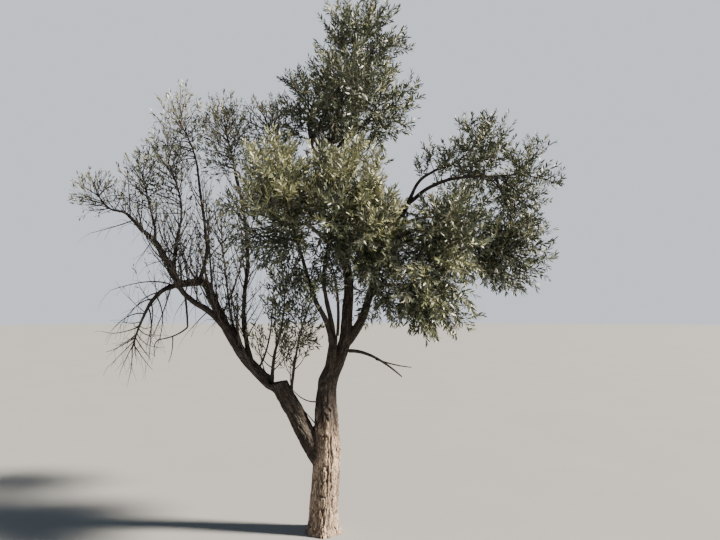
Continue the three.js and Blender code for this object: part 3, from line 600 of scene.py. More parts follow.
def blend_bark(points, limbs):
    """Relief, cracks, wear and place in the grain at each point, blended where limbs meet.

    The wear carries painted shade from the crown, and the cracks painted shade in the fissures.
    """
    total = np.full(len(points), LEAST_TOTAL)
    height, crack, wear_and_painted_shade, best = np.zeros((4, len(points)))
    spots = np.zeros((len(points), 3))
    for order, limb in enumerate(limbs):
        along, across, gap = limb_coordinates(limb, points)
        weight = np.exp(-np.clip(gap, 0, None) / BLEND_WIDTH) ** 2
        near = np.nonzero(weight > LEAST_WEIGHT)[0]
        lift, depth = bark_on_limb(limb, along[near], across[near], BARK_SEED_STEP * order)
        total[near] += weight[near]
        height[near] += weight[near] * lift
        crack[near] += weight[near] * depth
        if not limb.on:
            # Pale low on the trunk, dark above and on the boughs: the bark's own colour and painted shade
            # from the crown.
            wear_and_painted_shade[near] += weight[near] * np.interp(points[near, 2], WEAR_AND_SHADE_HEIGHTS, (1, 0))
        nearest_limb = near[weight[near] > best[near]]
        best[nearest_limb] = weight[nearest_limb]
        spots[nearest_limb] = np.column_stack([across, along + order])[nearest_limb]
    return height / total, crack / total, wear_and_painted_shade / total, spots


def press_knots(points, normals, crack):
    """Presses each knot's hollow into the bark, lifts the rim round it, and paints shade in the hollow."""
    for spot, radius, depth in KNOTS:
        away = np.linalg.norm(points - nearest(points, place(spot)), axis=1) / radius
        hollow = np.exp(-(away * HOLLOW_STEEPNESS) ** 4)
        rim = np.exp(-((away - RIM_AT) / RIM_WIDTH) ** 2)
        points = points + normals * (RIM_HEIGHT * depth * rim - depth * hollow)[:, None]
        # The hollow is darkened as painted shade.
        crack = np.clip(crack + HOLLOW_SHADE * hollow, 0, 1)
    return points, crack


def shape_bark(piece, limbs):
    """Moves the skin's points to the bark's relief and stores what the bark's colours need."""
    mesh = piece.data
    points = read_vectors(mesh.vertices, "co")
    normals = read_vectors(mesh.vertex_normals, "vector")
    height, crack, wear_and_painted_shade, spots = blend_bark(points, limbs)
    points, crack = press_knots(points + normals * height[:, None], normals, crack)
    sawn = np.zeros(len(points))
    for limb in limbs:
        if limb.name in SAWN:
            points, on_cut = saw_off(limb, points)
            sawn = np.maximum(sawn, on_cut)
    mesh.vertices.foreach_set("co", points.astype(np.float32).ravel())
    # The crack mask darkens the colour as fissure colour and painted shade; the wear mask holds painted
    # crown shade.
    for name, values in (("crack", crack), ("wear_and_painted_shade", wear_and_painted_shade), ("sawn", sawn)):
        mesh.attributes.new(name, "FLOAT", "POINT").data.foreach_set("value", values.astype(np.float32))
    grain = mesh.attributes.new("grain_place", "FLOAT_VECTOR", "POINT")
    grain.data.foreach_set("vector", spots.astype(np.float32).ravel())
    mesh.polygons.foreach_set("use_smooth", np.ones(len(mesh.polygons), bool))
    mesh.update()


def saw_off(limb, points):
    """Presses points that stand past a limb's sawn end onto the cut."""
    facing = unit(limb.along[-1] + CUT_LEVEL * UP)
    offset = points - limb.axis[-1]
    past = offset @ facing
    beside = np.linalg.norm(offset - past[:, None] * facing, axis=1)
    radius = limb.radii[-1]
    over = (past > CUT_STRETCH[0]) & (past < CUT_STRETCH[1]) & (beside < CUT_REACH * radius)
    points = np.where(over[:, None], points - (past + CUT_DEPTH)[:, None] * facing, points)
    return points, (over & (beside < CUT_WOOD * radius)).astype(float)


def cut_at_ground(piece):
    mesh = bmesh.new()
    mesh.from_mesh(piece.data)
    everything = mesh.verts[:] + mesh.edges[:] + mesh.faces[:]
    cut = bmesh.ops.bisect_plane(
        mesh, geom=everything, plane_co=(0, 0, 0), plane_no=(0, 0, -1), clear_outer=True)
    rim = [item for item in cut["geom_cut"] if isinstance(item, bmesh.types.BMEdge)]
    bmesh.ops.holes_fill(mesh, edges=rim, sides=0)
    bmesh.ops.triangulate(mesh, faces=mesh.faces[:])
    mesh.to_mesh(piece.data)
    mesh.free()


def build_old_wood(limbs):
    old = [limbs[name] for name in OLD_WOOD]
    piece = remeshed("old_wood", [wood_tube(limb) for limb in old])
    shape_bark(piece, old)
    cut_at_ground(piece)
    piece.data.materials.append(bark_material())
    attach(piece, "root")
    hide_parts(*OLD_WOOD)


# Young limbs

YOUNG_SIDES = 10
# Lumps on young limbs: how high, how many round the limb, how long, and their seeds.
YOUNG_LUMP = 0.16
LUMPS_ROUND = 1.2
LUMP_LENGTH = 0.05
LUMP_SHIFT = 3
LUMP_SEED = 900


def build_young_limbs(limbs):
    young = [limb for limb in limbs.values() if limb.name not in OLD_WOOD]
    parts = []
    angles = angles_round(YOUNG_SIDES)[None]
    for order, limb in enumerate(young):
        spots = np.stack(np.broadcast_arrays(
            np.cos(angles) * LUMPS_ROUND, np.sin(angles) * LUMPS_ROUND,
            np.arange(len(limb.axis))[:, None] * AXIS_STEP / LUMP_LENGTH), axis=-1)
        lumps = 1 + YOUNG_LUMP * noise(spots + LUMP_SHIFT * order, LUMP_SEED + order)
        parts.append(tube_arrays(limb.axis, limb.radii[:, None] * lumps, YOUNG_SIDES, limb.across[0]))
    piece = mesh_object("young_limbs", *join_arrays(parts), [young_bark_material()])
    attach(piece, "root")
    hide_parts(*[limb.name for limb in young])


# Foliage

# The seeds of masses and of dressed limbs, in their order.
MASS_SEEDS = range(101, 1101, 17)
DRESS_SEEDS = range(1009, 2009, 31)
STEM_SIDES = 6
BRANCH_SIDES = 4
SHOOT_SIDES = 3
# A mass's stem: how far it keeps its limb's heading, how high it ends, leafy or bare, how deep it
# starts in the limb, its radius at the tip, and its step.
STEM_LEAD = 0.45
STEM_RISE = 0.25
BARE_RISE = -0.1
STEM_SINK = 0.015
STEM_TIP = 0.0045
STEM_STEP = 0.03
# Where branches leave the stem, how far they stray from that and from their even turns, and limits.
BRANCH_STRETCH = (0.12, 0.97)
START_STRAY = 0.05
START_LIMITS = (0.05, 0.98)
TURN_JITTER = 0.6
# Twigs along a limb: where in its step each stands, how far it points outwards and onwards, where in
# the limb it starts, how many points of it are looked at, and the rise over which tones turn from
# painted shade to painted light.
TWIG_PLACES = (0.1, 0.9)
TWIG_OUTWARD = (0.4, 1)
TWIG_ONWARD = (0.1, 0.6)
TWIG_FOOT = 0.6
TWIG_CHECKS = 7
SHADE_TO_LIGHT_RISE = 1.2
# The heights in a space, from -1 to 1, between which its shoots turn from drooping to rising, and
# its lower tone to its upper one: painted shade below, painted light above.
DROOP_HEIGHTS = (-0.9, -0.1)
SHADE_TO_LIGHT_HEIGHTS = (-0.55, 0.75)
# A branch: how far its bend strays, how straight it is, its step, its radius at the foot, for no
# length and for each metre, and at the tip.
BRANCH_STRAY = 0.04
STRAIGHT = 0.2
BRANCH_STEP = 0.03
BRANCH_FOOT = (0.0026, 0.0085)
BRANCH_TIP = 0.0016
# Keeps a branch that heads along its stem from being thrown sideways.
LEAST_SIDE = 0.1
# A shoot: how far it strays along its branch, its radii, its splay at the branch's tip and
# elsewhere, its lift and curl, the shares of its length that are tried, and its bends.
SHOOT_STRAY = 0.7
SHOOT_RADII = (0.0015, 0.0008)
TIP_SPLAY = 0.15
SHOOT_SPLAY = (0.6, 1.1)
SHOOT_LIFT = (0.4, 1.3)
CURL_UP = 0.12
CURL_DOWN = -0.2
CURL_STRAY = 0.08
SHOOT_CUTS = (1, 0.75, 0.5)
SHOOT_BENDS = 3
# Keeps a way across a line from vanishing where the line points straight up.
ASIDE = 0.01
# Leaves on a shoot: the stretch that bears them, the share of it that counts their pairs, and the
# share of them in the first of two tints.
LEAFY_STRETCH = (0.05, 0.98)
LEAFY_SHARE = 0.92
MAIN_SHARE = 0.6
# A leaf: its width for its length, its splay and how that shrinks along the shoot, how far heading,
# turn and roll stray, how it faces up, along and outward, and how much smaller it is at the tip.
LEAF_SHARE = 0.25
LEAF_SPLAY = (0.6, 1.15)
FOOT_SPLAY = 1.15
SPLAY_LOSS = 0.6
HEADING_STRAY = 0.12
TURN_STRAY = 0.25
LEAF_ROLL = 0.6
FACING = (0.6, 0.4, 0.3)
TIP_LOSS = 0.3
# A leaf's corners as shares of its length, half width and thickness, and its upper and lower faces.
LEAF = np.array([
    (0, 0, 0), (0.34, 1, 1), (0.72, 0.72, 0.6), (1, 0, 0), (0.72, -0.72, 0.6), (0.34, -1, 1)])
LEAF_TOP = [(0, 1, 5), (1, 4, 5), (1, 2, 4), (2, 3, 4)]
LEAF_UNDER = [(0, 3, 1), (1, 3, 2), (0, 5, 3), (5, 4, 3)]
LEAF_KEEL = 0.24
# How far past the edge of its space a shoot may go, and how far off the wood it keeps.
EDGE = 1.1
WOOD_GAP = 0.004
# Every third ring of a limb stands for its wood there.
RING_STRIDE = 3
# The most faces in one piece of leaves.
MOST_FACES = 190000


def growth_of(foliage, wood, seed, habit_name, tones, low, high):
    """What branches and shoots need to know of the mass or limb that they grow in."""
    habit = SimpleNamespace(**dict(zip(HABIT_WORDS, HABITS[habit_name])))
    bare = habit.kept == 0
    return SimpleNamespace(
        habit=habit, bare=bare, rng=np.random.default_rng(seed), wood=wood, space=None,
        twigs=foliage.dry if bare else foliage.twigs, shoots=foliage.dry if bare else foliage.shoots,
        leaves=foliage.leaves, tones=np.array([TONES[tone] for tone in tones]), low=low, high=high)


def grow_mass(name, order, limbs, wood, foliage):
    """A mass: a stem from its limb's tip into its space, and branches from that to all sides."""
    tip_of, centre, reach, branches, habit_name, tones = MASSES[name]
    middle, halves = place(centre), place(reach)
    # The lower tone low in the space and the upper one high up: painted shade and painted light.
    low, high = middle[2] + halves[2] * np.array(SHADE_TO_LIGHT_HEIGHTS)
    growth = growth_of(foliage, wood, MASS_SEEDS[order], habit_name, tones, low, high)
    growth.space = middle, halves
    bough = limbs[tip_of]
    heading = bough.along[-1]
    start = bough.axis[-1] - STEM_SINK * heading
    end = middle + UP * halves[2] * (BARE_RISE if growth.bare else STEM_RISE)
    stem = bend_line(start, start + heading * np.linalg.norm(end - start) * STEM_LEAD, end, STEM_STEP)
    add_tube(growth.twigs, stem, (bough.radii[-1], STEM_TIP), STEM_SIDES)
    count = round(branches * growth.habit.finer)
    for i in range(count):
        grow_outward(growth, stem, i, count)


def grow_outward(growth, stem, i, count):
    """One branch of a mass: from the stem out to one of its evenly spread directions."""
    rng = growth.rng
    middle, halves = growth.space
    height = 1 - (2 * i + 1) / count
    turn = i * GOLDEN_ANGLE + rng.random() * TURN_JITTER
    ring = math.sqrt(1 - height * height)
    outward = np.array([ring * math.cos(turn), ring * math.sin(turn), height])
    end = middle + outward * halves * rng.uniform(*growth.habit.reach)
    share = np.interp(-height if growth.bare else height, (-1, 1), BRANCH_STRETCH)
    share = np.clip(share + rng.uniform(-START_STRAY, START_STRAY), *START_LIMITS)
    start, heading = on_line(stem, share)
    growth.lift = np.interp(height, DROOP_HEIGHTS, (growth.habit.droop, growth.habit.lift))
    grow_branch(growth, start, heading, outward, end)


def dress_limb(order, limbs, wood, foliage):
    """Twigs along a limb, that leave it on all sides and turn up or down."""
    name, stretch, step, lengths, habit_name, tones = DRESSED[order]
    limb = limbs[name]
    low = limb.axis[:, 2].min()
    # The limb's lower tone at its foot and its upper one higher up: painted shade and painted light.
    growth = growth_of(foliage, wood, DRESS_SEEDS[order], habit_name, tones, low, low + SHADE_TO_LIGHT_RISE)
    rng, lift = growth.rng, growth.habit.lift
    growth.lift = lift
    count = round((stretch[1] - stretch[0]) * limb.length / step)
    for i in range(count):
        share = np.interp((i + rng.uniform(*TWIG_PLACES)) / count, (0, 1), stretch)
        ring = int(share * (len(limb.axis) - 1))
        turn = i * GOLDEN_ANGLE + rng.random() * TURN_JITTER
        outward = limb.across[ring] * math.cos(turn) + limb.beside[ring] * math.sin(turn)
        sideways = outward * rng.uniform(*TWIG_OUTWARD)
        pointing = unit(sideways + limb.along[ring] * rng.uniform(*TWIG_ONWARD) + UP * lift)
        start = limb.axis[ring] + outward * limb.radii[ring] * TWIG_FOOT
        end = start + pointing * rng.uniform(*lengths)
        if is_free(growth, np.linspace(start, end, TWIG_CHECKS)[2:]):
            grow_branch(growth, start, outward, outward, end)


def on_line(line, share):
    """The place at a share of a line, and the line's direction there, or both for many shares."""
    foot = np.asarray(share * (len(line) - 1))
    low = np.minimum(foot.astype(int), len(line) - 2)
    step = line[low + 1] - line[low]
    return line[low] + step * (foot - low)[..., None], unit(step)


def grow_branch(growth, start, heading, outward, end):
    """A branch from start to end, that leaves along heading and outward, with shoots along it."""
    rng, habit = growth.rng, growth.habit
    reach = np.linalg.norm(end - start)
    side = outward - heading * np.dot(outward, heading)
    side = side / max(np.linalg.norm(side), LEAST_SIDE)
    bend = start + ((heading + side) * habit.bow + rng.normal(0, BRANCH_STRAY, 3)) * reach
    bend = bend + (end - start) * STRAIGHT
    line = bend_line(start, bend, end, BRANCH_STEP)
    add_tube(growth.twigs, line, (BRANCH_FOOT[0] + BRANCH_FOOT[1] * reach, BRANCH_TIP), BRANCH_SIDES)
    count = max(2, round((1 - habit.bare) * BRANCH_STEP * (len(line) - 1) / habit.step))
    turn = rng.uniform(0, 2 * math.pi)
    for k in range(count):
        last = k == count - 1
        share = 1 if last else habit.bare + (1 - habit.bare) * (k + rng.uniform(0, SHOOT_STRAY)) / count
        grow_shoot(growth, line, share, k * GOLDEN_ANGLE + turn, outward, last)


def grow_shoot(growth, line, share, turn, outward, last):
    """A shoot off a branch, cut short until it is free, or left out where it never is."""
    rng, habit = growth.rng, growth.habit
    start, heading = on_line(line, share)
    side = unit(np.cross(heading, UP + ASIDE * outward))
    over = np.cross(side, heading)
    radial = side * math.cos(turn) + over * math.sin(turn)
    splay = TIP_SPLAY if last else rng.uniform(*SHOOT_SPLAY)
    splayed = heading * math.cos(splay) + radial * math.sin(splay)
    pointing = unit(splayed + UP * growth.lift * rng.uniform(*SHOOT_LIFT))
    length = rng.uniform(*habit.shoot)
    curl = UP * (CURL_UP if growth.lift > 0 else CURL_DOWN) + rng.normal(0, CURL_STRAY, 3)
    for cut in SHOOT_CUTS:
        run = length * cut
        middle = start + pointing * run * 0.5
        shoot = bend_line(start, middle, start + (pointing + curl) * run, run / SHOOT_BENDS)
        if is_free(growth, shoot[1:]):
            break
    else:
        return
    add_tube(growth.shoots, shoot, SHOOT_RADII, SHOOT_SIDES)
    if not growth.bare:
        dress_shoot(growth, shoot, outward)


def is_free(growth, points):
    """Whether all points are inside the whole tree's reach and their mass's space, clear of the wood."""
    if np.any(points < REACH[0]) or np.any(points > REACH[1]):
        return False
    if growth.space and np.linalg.norm((points - growth.space[0]) / growth.space[1], axis=1).max() > EDGE:
        return False
    gaps = np.linalg.norm(points[1:, None] - growth.wood[None, :, :3], axis=2) - growth.wood[:, 3]
    return gaps.min() > WOOD_GAP


def leaf_rows(growth, shoot, outward):
    """Place, heading, facing and length of a shoot's leaves, and whether each is kept.

    They stand in opposite pairs, each pair at right angles to the one before.
    """
    rng, habit = growth.rng, growth.habit
    length = np.linalg.norm(np.diff(shoot, axis=0), axis=1).sum()
    pairs = max(2, int(length * (LEAFY_SHARE - habit.tips) / habit.pair))
    count = 2 * pairs
    shares = np.repeat(np.linspace(LEAFY_STRETCH[0] + habit.tips, LEAFY_STRETCH[1], pairs), 2)
    bases, along = on_line(shoot, shares)
    side = unit(np.cross(along, UP + 2 * ASIDE * outward))
    over = np.cross(side, along)
    turn = (np.arange(pairs) % 2 * math.pi / 2 + rng.uniform(0, math.pi)).repeat(2)
    turn = turn + np.tile([0, math.pi], pairs) + rng.normal(0, TURN_STRAY, count)
    radial = side * np.cos(turn)[:, None] + over * np.sin(turn)[:, None]
    splay = rng.uniform(*LEAF_SPLAY, count) * (FOOT_SPLAY - SPLAY_LOSS * shares)
    headings = unit(along * np.cos(splay)[:, None] + radial * np.sin(splay)[:, None]
                    + rng.normal(0, HEADING_STRAY, (count, 3)))
    facings = UP * FACING[0] + along * FACING[1] + outward * FACING[2]
    facings = facings + rng.normal(0, LEAF_ROLL, (count, 3))
    lengths = rng.uniform(*habit.leaf, count) * (1 - TIP_LOSS * shares ** 3)
    kept = rng.random(count) < habit.kept
    tips = bases + headings * lengths[:, None]
    kept &= np.all((tips > REACH[0]) & (tips < REACH[1]), axis=1)
    return np.column_stack([bases, headings, facings, lengths]), kept


def dress_shoot(growth, shoot, outward):
    """Leaves along a shoot, in two tints that its height in the space makes likely: painted shade low
    down and painted light high up.
    """
    rng = growth.rng
    rows, kept = leaf_rows(growth, shoot, outward)
    level = np.clip((shoot[-1, 2] - growth.low) / (growth.high - growth.low), 0, 1)
    odds = growth.tones[0] * (1 - level) + growth.tones[1] * level
    tints = rng.choice(len(TINTS), 2, p=odds / odds.sum())
    in_main = rng.random(len(rows)) < MAIN_SHARE
    for tint, chosen in zip(tints, (in_main, ~in_main)):
        growth.leaves[TINTS[tint]].append(rows[kept & chosen])


def leaf_arrays(rows):
    """Rows of place, heading, facing and length as leaf blades."""
    bases, headings, facings, lengths = rows[:, 0:3], rows[:, 3:6], rows[:, 6:9], rows[:, 9]
    across = unit(np.cross(headings, facings))
    upward = np.cross(across, headings)
    widths = lengths * LEAF_SHARE / 2
    corners = (bases[:, None]
               + headings[:, None] * (LEAF[:, 0] * lengths[:, None])[..., None]
               + across[:, None] * (LEAF[:, 1] * widths[:, None])[..., None]
               + upward[:, None] * (LEAF[:, 2] * LEAF_KEEL * widths[:, None])[..., None])
    faces = np.array(LEAF_TOP + LEAF_UNDER)
    starts = np.arange(len(rows)) * len(LEAF)
    triangles = (starts[:, None, None] + faces[None]).reshape(-1, 3)
    slots = np.tile([0] * len(LEAF_TOP) + [1] * len(LEAF_UNDER), len(rows))
    return corners.reshape(-1, 3), triangles, slots


def add_twigs(name, parts, material, nodes):
    piece = mesh_object(name, *join_arrays(parts), [material])
    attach(piece, "root")
    if nodes:
        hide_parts(*nodes)


def add_leaves(tint, rows):
    """The leaves of one tint, in as many pieces as keep each below the most faces."""
    upper, under = LEAF_COLOURS[tint]
    materials = [leaf_material(tint, upper), leaf_material(tint + "_under", under)]
    pieces = math.ceil(len(rows) * (len(LEAF_TOP) + len(LEAF_UNDER)) / MOST_FACES)
    for i, part in enumerate(np.array_split(rows, pieces)):
        vertices, faces, slots = leaf_arrays(part)
        leaves = mesh_object(f"leaves_{tint}_{i + 1}", vertices, faces, materials, slots, smooth=False)
        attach(leaves, "root")


def build_foliage(limbs):
    """Gathers twigs, shoots and leaves from all masses and limbs, and joins each kind."""
    rings = [np.column_stack([limb.axis, limb.radii])[::RING_STRIDE] for limb in limbs.values()]
    wood = np.vstack(rings)
    foliage = SimpleNamespace(twigs=[], shoots=[], dry=[], leaves={tint: [] for tint in TINTS})
    for order, name in enumerate(MASSES):
        grow_mass(name, order, limbs, wood, foliage)
    for order in range(len(DRESSED)):
        dress_limb(order, limbs, wood, foliage)
    for radii, route in SPURS:
        add_tube(foliage.twigs, bend_line(*place(route), BRANCH_STEP), radii, STEM_SIDES)
    bare = [name for name, (*_, habit, _) in MASSES.items() if habit == "bare"]
    leafy = [name for name in MASSES if name not in bare]
    add_twigs("twigs", foliage.twigs, twig_material("twig", TWIG_COLOURS), leafy)
    add_twigs("shoots", foliage.shoots, twig_material("shoot", SHOOT_COLOURS), [])
    add_twigs("dry_twigs", foliage.dry, twig_material("dry_twig", DRY_COLOURS), bare)
    for tint in TINTS:
        add_leaves(tint, np.vstack(foliage.leaves[tint]))


# Materials

# The upper and the under side of a leaf of each tint.
LEAF_COLOURS = {
    "deep": ((0.024, 0.03, 0.016), (0.078, 0.092, 0.062)),
    "olive": ((0.051, 0.062, 0.029), (0.122, 0.138, 0.088)),
    "sage": ((0.12, 0.136, 0.072), (0.21, 0.225, 0.15)),
    "straw": ((0.25, 0.255, 0.12), (0.31, 0.31, 0.18)),
    "silver": ((0.42, 0.4, 0.31), (0.5, 0.48, 0.38)),
}
# The two colours that patches of each wood turn between.
TWIG_COLOURS = ((0.022, 0.018, 0.016), (0.06, 0.05, 0.042))
SHOOT_COLOURS = ((0.07, 0.05, 0.043), (0.2, 0.15, 0.128))
DRY_COLOURS = ((0.03, 0.025, 0.021), (0.09, 0.076, 0.063))
# OLD_BARK is the pale low trunk; UPPER_BARK and UPPER_FLECK, much darker, are the bark above and on the
# boughs, partly its own colour and partly painted shade from the crown.
OLD_BARK = ((0.28, 0.192, 0.142), (0.69, 0.478, 0.345))
UPPER_BARK = ((0.042, 0.029, 0.024), (0.095, 0.064, 0.051))
YOUNG_BARK = ((0.018, 0.014, 0.012), (0.05, 0.04, 0.033))
SAWN_WOOD = ((0.05, 0.042, 0.036), (0.1, 0.083, 0.07))
BARK_FLECK = (0.9, 0.7, 0.52)
UPPER_FLECK = (0.16, 0.14, 0.12)
YOUNG_FLECK = (0.1, 0.088, 0.075)
# The dark of cracks, pits and knot hollows: the fissures' own colour and painted shade.
CRACK_AND_SHADE_COLOUR = (0.02, 0.016, 0.014)
# Cells in a metre across and along the grain, for the plates, pits and grain.
BROAD_PLATES = (75, 75, 13)
FINE_PLATES = (170, 170, 38)
PITS = (95, 95, 20)
YOUNG_GRAIN = (120, 120, 36)
# The grain's sway: scale of its noise, and metres.
GRAIN_SWAY = (25, 0.012)
# Scale and detail of the noise that gives each its patches.
BARK_PATCHES = (7, 4)
WEAR_AND_SHADE_PATCHES = (9, 4)
PALE_PATCHES = (55, 4)
WOOD_PATCHES = (30, 3)
YOUNG_PATCHES = (22, 4)
TWIG_PATCHES = (40, 3)
# The parts of the noise's run over which one colour turns into another.
SOFT = (0.3, 0.7)
CRISP = (0.35, 0.65)
WIDE = (0.2, 0.8)
# Pale flecks on plates, grain and patches, and on young bark, and dark pits, which are pit colour and
# painted shade: the part of the noise's run over which they come in, and how much they show.
FLECKS = ((0.3, 0.8, 0.75), (0.5, 0.68, 0.6), (0.56, 0.7, 0.5))
YOUNG_FLECKS = (0.5, 0.75, 0, 0.5)
PIT_DEPTH = (0.54, 0.64, 0, 0.9)
# How the crack mask turns into dark colour, and the most it darkens: fissure colour and painted shade.
CRACK_DEPTHS = (0.35, 0.9)
CRACK_AND_SHADE_DARK = 0.9
# Cracks between broad and fine plates, as shares of a plate, and how faint the fine ones are. Their dark
# is the fissures' own colour and painted shade.
BROAD_CRACK = 0.13
FINE_CRACK = 0.16
FINE_SHARE = 0.6
# How far patches push the edge of the worn bark and its painted crown shade down and up.
WEAR_AND_SHADE_STRAY = (-0.25, 0.25)
# Roughness between the grain's low and high, and the relief's strength and depth in metres.
BARK_ROUGHNESS = (0.82, 0.97)
YOUNG_ROUGHNESS = (0.75, 0.95)
BARK_RELIEF = (1, 0.005)
YOUNG_RELIEF = (0.5, 0.0015)


class Nodes:
    """Short words for a material's nodes."""

    def __init__(self, name):
        self.material = bpy.data.materials.new(name)
        self.material.use_nodes = True
        self.tree = self.material.node_tree

    def add(self, kind, output, inputs, **settings):
        """A new node's output."""
        node = self.tree.nodes.new("ShaderNode" + kind)
        for key, value in settings.items():
            setattr(node, key, value)
        self.feed(node, inputs)
        return node.outputs[output]

    def feed(self, node, inputs):
        """Gives each input its value: another node's output, a colour, a vector or a number."""
        for key, value in inputs.items():
            socket = node.inputs[key]
            if isinstance(value, bpy.types.NodeSocket):
                self.tree.links.new(value, socket)
            elif isinstance(value, tuple):
                socket.default_value = (*value, 1)[:len(socket.default_value)]
            else:
                socket.default_value = value

    def shade(self, **inputs):
        """Feeds the shader. Each _ in a name stands for a space."""
        shader = self.tree.nodes["Principled BSDF"]
        self.feed(shader, {key.replace("_", " "): value for key, value in inputs.items()})

    def attribute(self, name, output="Fac"):
        return self.add("Attribute", output, {}, attribute_name=name)

    def place(self):
        return self.add("TexCoord", "Object", {})

    def stretched(self, stretch, source=None):
        return self.add("Mapping", "Vector", {"Scale": stretch, "Vector": source or self.place()})

    def noise(self, scale, detail, source=None):
        inputs = {"Scale": scale, "Detail": detail, "Vector": source or self.place()}
        return self.add("TexNoise", "Fac", inputs)

    def swayed(self, source, scale, amount):
        """A place moved by noise."""
        sway = self.add("TexNoise", "Color", {"Scale": scale, "Vector": source})
        inputs = {0: sway, 1: (amount,) * 3, 2: source}
        return self.add("VectorMath", "Vector", inputs, operation="MULTIPLY_ADD")

    def cells(self, source, output, feature="F1"):
        return self.add("TexVoronoi", output, {"Scale": 1, "Vector": source}, feature=feature)

    def cracks(self, source, width):
        """Thin lines between cells: 1 in a crack and 0 on the plates between."""
        return self.range(self.cells(source, "Distance", "DISTANCE_TO_EDGE"), 0, width, 1, 0)

    def join(self, operation, first, second):
        return self.add("Math", "Value", {0: first, 1: second}, operation=operation)

    def mix(self, amount, first, second):
        return self.add("Mix", 2, {0: amount, 6: first, 7: second}, data_type="RGBA")

    def range(self, value, low, high, to_low=0.0, to_high=1.0):
        inputs = {"Value": value, "From Min": low, "From Max": high, "To Min": to_low, "To Max": to_high}
        return self.add("MapRange", "Result", inputs)

    def bump(self, height, strength, distance):
        inputs = {"Strength": strength, "Distance": distance, "Height": height}
        self.shade(Normal=self.add("Bump", "Normal", inputs))


def bark_material():
    """Pale worn plates and dark cracks low on the trunk, and darker grey-brown bark above.

    The dark bark above and the dark in the cracks are partly painted shade.
    """
    n = Nodes("bark")
    spot = n.swayed(n.attribute("grain_place", "Vector"), *GRAIN_SWAY)
    broad = n.stretched(BROAD_PLATES, spot)
    fine = n.stretched(FINE_PLATES, spot)
    grain = n.noise(1, 5, fine)
    patches = n.range(n.noise(*BARK_PATCHES), *CRISP)
    # Pale bark low on the trunk, dark bark above: the bark's own colour and painted shade from the crown.
    ragged_edge = n.range(n.noise(*WEAR_AND_SHADE_PATCHES), *SOFT, *WEAR_AND_SHADE_STRAY)
    wear_and_painted_shade = n.range(n.join("ADD", n.attribute("wear_and_painted_shade"), ragged_edge), *WIDE)
    base = n.mix(wear_and_painted_shade, n.mix(patches, *UPPER_BARK), n.mix(patches, *OLD_BARK))
    pale = n.mix(wear_and_painted_shade, UPPER_FLECK, BARK_FLECK)
    flecked = (n.cells(broad, "Color"), grain, n.noise(*PALE_PATCHES))
    for source, (low, high, most) in zip(flecked, FLECKS):
        base = n.mix(n.range(source, low, high, 0, most), base, pale)
    fine_cracks = n.join("MULTIPLY", n.cracks(fine, FINE_CRACK), FINE_SHARE)
    pits = n.range(n.noise(1, 3, n.stretched(PITS, spot)), *PIT_DEPTH)
    lines = n.join("MAXIMUM", n.join("MAXIMUM", n.cracks(broad, BROAD_CRACK), fine_cracks), pits)
    depth = n.join("MAXIMUM", lines, n.range(n.attribute("crack"), *CRACK_DEPTHS))
    # Darkens cracks, pits and knot hollows: the fissures' own colour and painted shade.
    colour = n.mix(n.range(depth, 0, 1, 0, CRACK_AND_SHADE_DARK), base, CRACK_AND_SHADE_COLOUR)
    wood = n.mix(n.range(n.noise(*WOOD_PATCHES), *SOFT), *SAWN_WOOD)
    n.shade(Base_Color=n.mix(n.attribute("sawn"), colour, wood),
            Roughness=n.range(grain, *WIDE, *BARK_ROUGHNESS), Specular_IOR_Level=0.2)
    n.bump(n.join("SUBTRACT", n.join("MULTIPLY", grain, 0.5), lines), *BARK_RELIEF)
    return n.material


def young_bark_material():
    n = Nodes("young_bark")
    grain = n.noise(1, 4, n.stretched(YOUNG_GRAIN))
    colour = n.mix(n.range(n.noise(*YOUNG_PATCHES), *CRISP), *YOUNG_BARK)
    n.shade(Base_Color=n.mix(n.range(grain, *YOUNG_FLECKS), colour, YOUNG_FLECK),
            Roughness=n.range(grain, *WIDE, *YOUNG_ROUGHNESS), Specular_IOR_Level=0.25)
    n.bump(grain, *YOUNG_RELIEF)
    return n.material


def twig_material(name, colours):
    n = Nodes(name)
    n.shade(Base_Color=n.mix(n.range(n.noise(*TWIG_PATCHES), *CRISP), *colours), Roughness=0.8)
    return n.material


def leaf_material(name, colour):
    n = Nodes(name)
    n.shade(Base_Color=colour, Roughness=0.42, Specular_IOR_Level=0.5)
    return n.material


# Stage, lights and camera. The camera stands where the photo was taken from.

EYE = (0.27, -4.16, 1.6)
PITCH = math.radians(4.93)
LENS_PIXELS = 536
FRAME_WIDTH = 720
SENSOR = 36.0
SIGHT = 200
FLOOR_RADIUS = 120.0
FLOOR_SIDES = 96
FLOOR_PATCHES = (0.8, 2)
# The backdrop as the camera sees it, and as it lights the tree: colour and strength.
BACKDROP = ((0.86, 0.91, 1), 0.95)
AMBIENT = ((0.62, 0.8, 1), 0.23)
# Lamps: kind, size, place, what each points at, strength and colour.
LAMPS = {
    "key": ("SUN", 0.12, (8, -0.9, 4.9), (0, 0, 0), 19, (1, 0.92, 0.79)),
    "fill": ("AREA", 5, (-6, -6, 5), (0, 0, 2), 60, (0.9, 0.95, 1)),
}
FLOOR_COLOURS = ((0.26, 0.256, 0.25), (0.29, 0.286, 0.28))


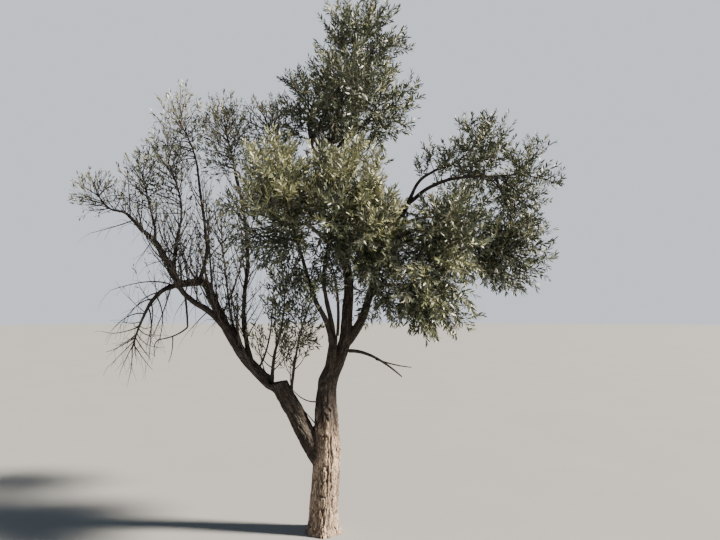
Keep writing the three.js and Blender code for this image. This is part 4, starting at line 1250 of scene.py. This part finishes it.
def build_stage():
    """A round floor, as wide as the view."""
    angles = angles_round(FLOOR_SIDES)
    rim = FLOOR_RADIUS * np.stack([np.cos(angles), np.sin(angles), np.zeros(FLOOR_SIDES)], 1)
    spokes = np.arange(FLOOR_SIDES)
    slices = np.stack([np.full(FLOOR_SIDES, FLOOR_SIDES), spokes, np.roll(spokes, -1)], 1)
    n = Nodes("floor")
    n.shade(Base_Color=n.mix(n.noise(*FLOOR_PATCHES), *FLOOR_COLOURS), Roughness=0.9)
    floor = mesh_object("floor", np.vstack([rim, np.zeros(3)]), slices, [n.material], smooth=False)


def build_lights():
    """Low warm light from the right, and a weak wide one from the left front."""
    for name, (kind, size, spot, target, strength, colour) in LAMPS.items():
        light = bpy.data.lights.new(name, kind)
        light.energy = strength
        light.color = colour
        setattr(light, "angle" if kind == "SUN" else "size", size)
        lamp = add_object(name, light)
        lamp.location = spot
        lamp.rotation_euler = (Vector(target) - Vector(spot)).to_track_quat("-Z", "Y").to_euler()


def build_world():
    """A pale backdrop all round, which lights the tree less than it shows."""
    world = bpy.data.worlds.new("studio")
    world.use_nodes = True
    nodes, links = world.node_tree.nodes, world.node_tree.links
    mix = nodes.new("ShaderNodeMixShader")
    links.new(nodes.new("ShaderNodeLightPath").outputs["Is Camera Ray"], mix.inputs[0])
    lit_by, seen = nodes.new("ShaderNodeBackground"), nodes["Background"]
    for i, (node, (colour, strength)) in enumerate(((lit_by, AMBIENT), (seen, BACKDROP))):
        node.inputs["Color"].default_value = (*colour, 1)
        node.inputs["Strength"].default_value = strength
        links.new(node.outputs[0], mix.inputs[1 + i])
    links.new(mix.outputs[0], nodes["World Output"].inputs["Surface"])
    bpy.context.scene.world = world


def build_camera():
    camera = bpy.data.cameras.new("camera")
    camera.sensor_width = SENSOR
    camera.lens = SENSOR * LENS_PIXELS / FRAME_WIDTH
    camera.clip_end = SIGHT
    holder = add_object("camera", camera)
    holder.location = EYE
    holder.rotation_euler = (math.pi / 2 + PITCH, 0, 0)
    bpy.context.scene.camera = holder


build_camera()
build_stage()
build_lights()
build_world()
tree_limbs = grow_limbs()
build_old_wood(tree_limbs)
build_young_limbs(tree_limbs)
build_foliage(tree_limbs)
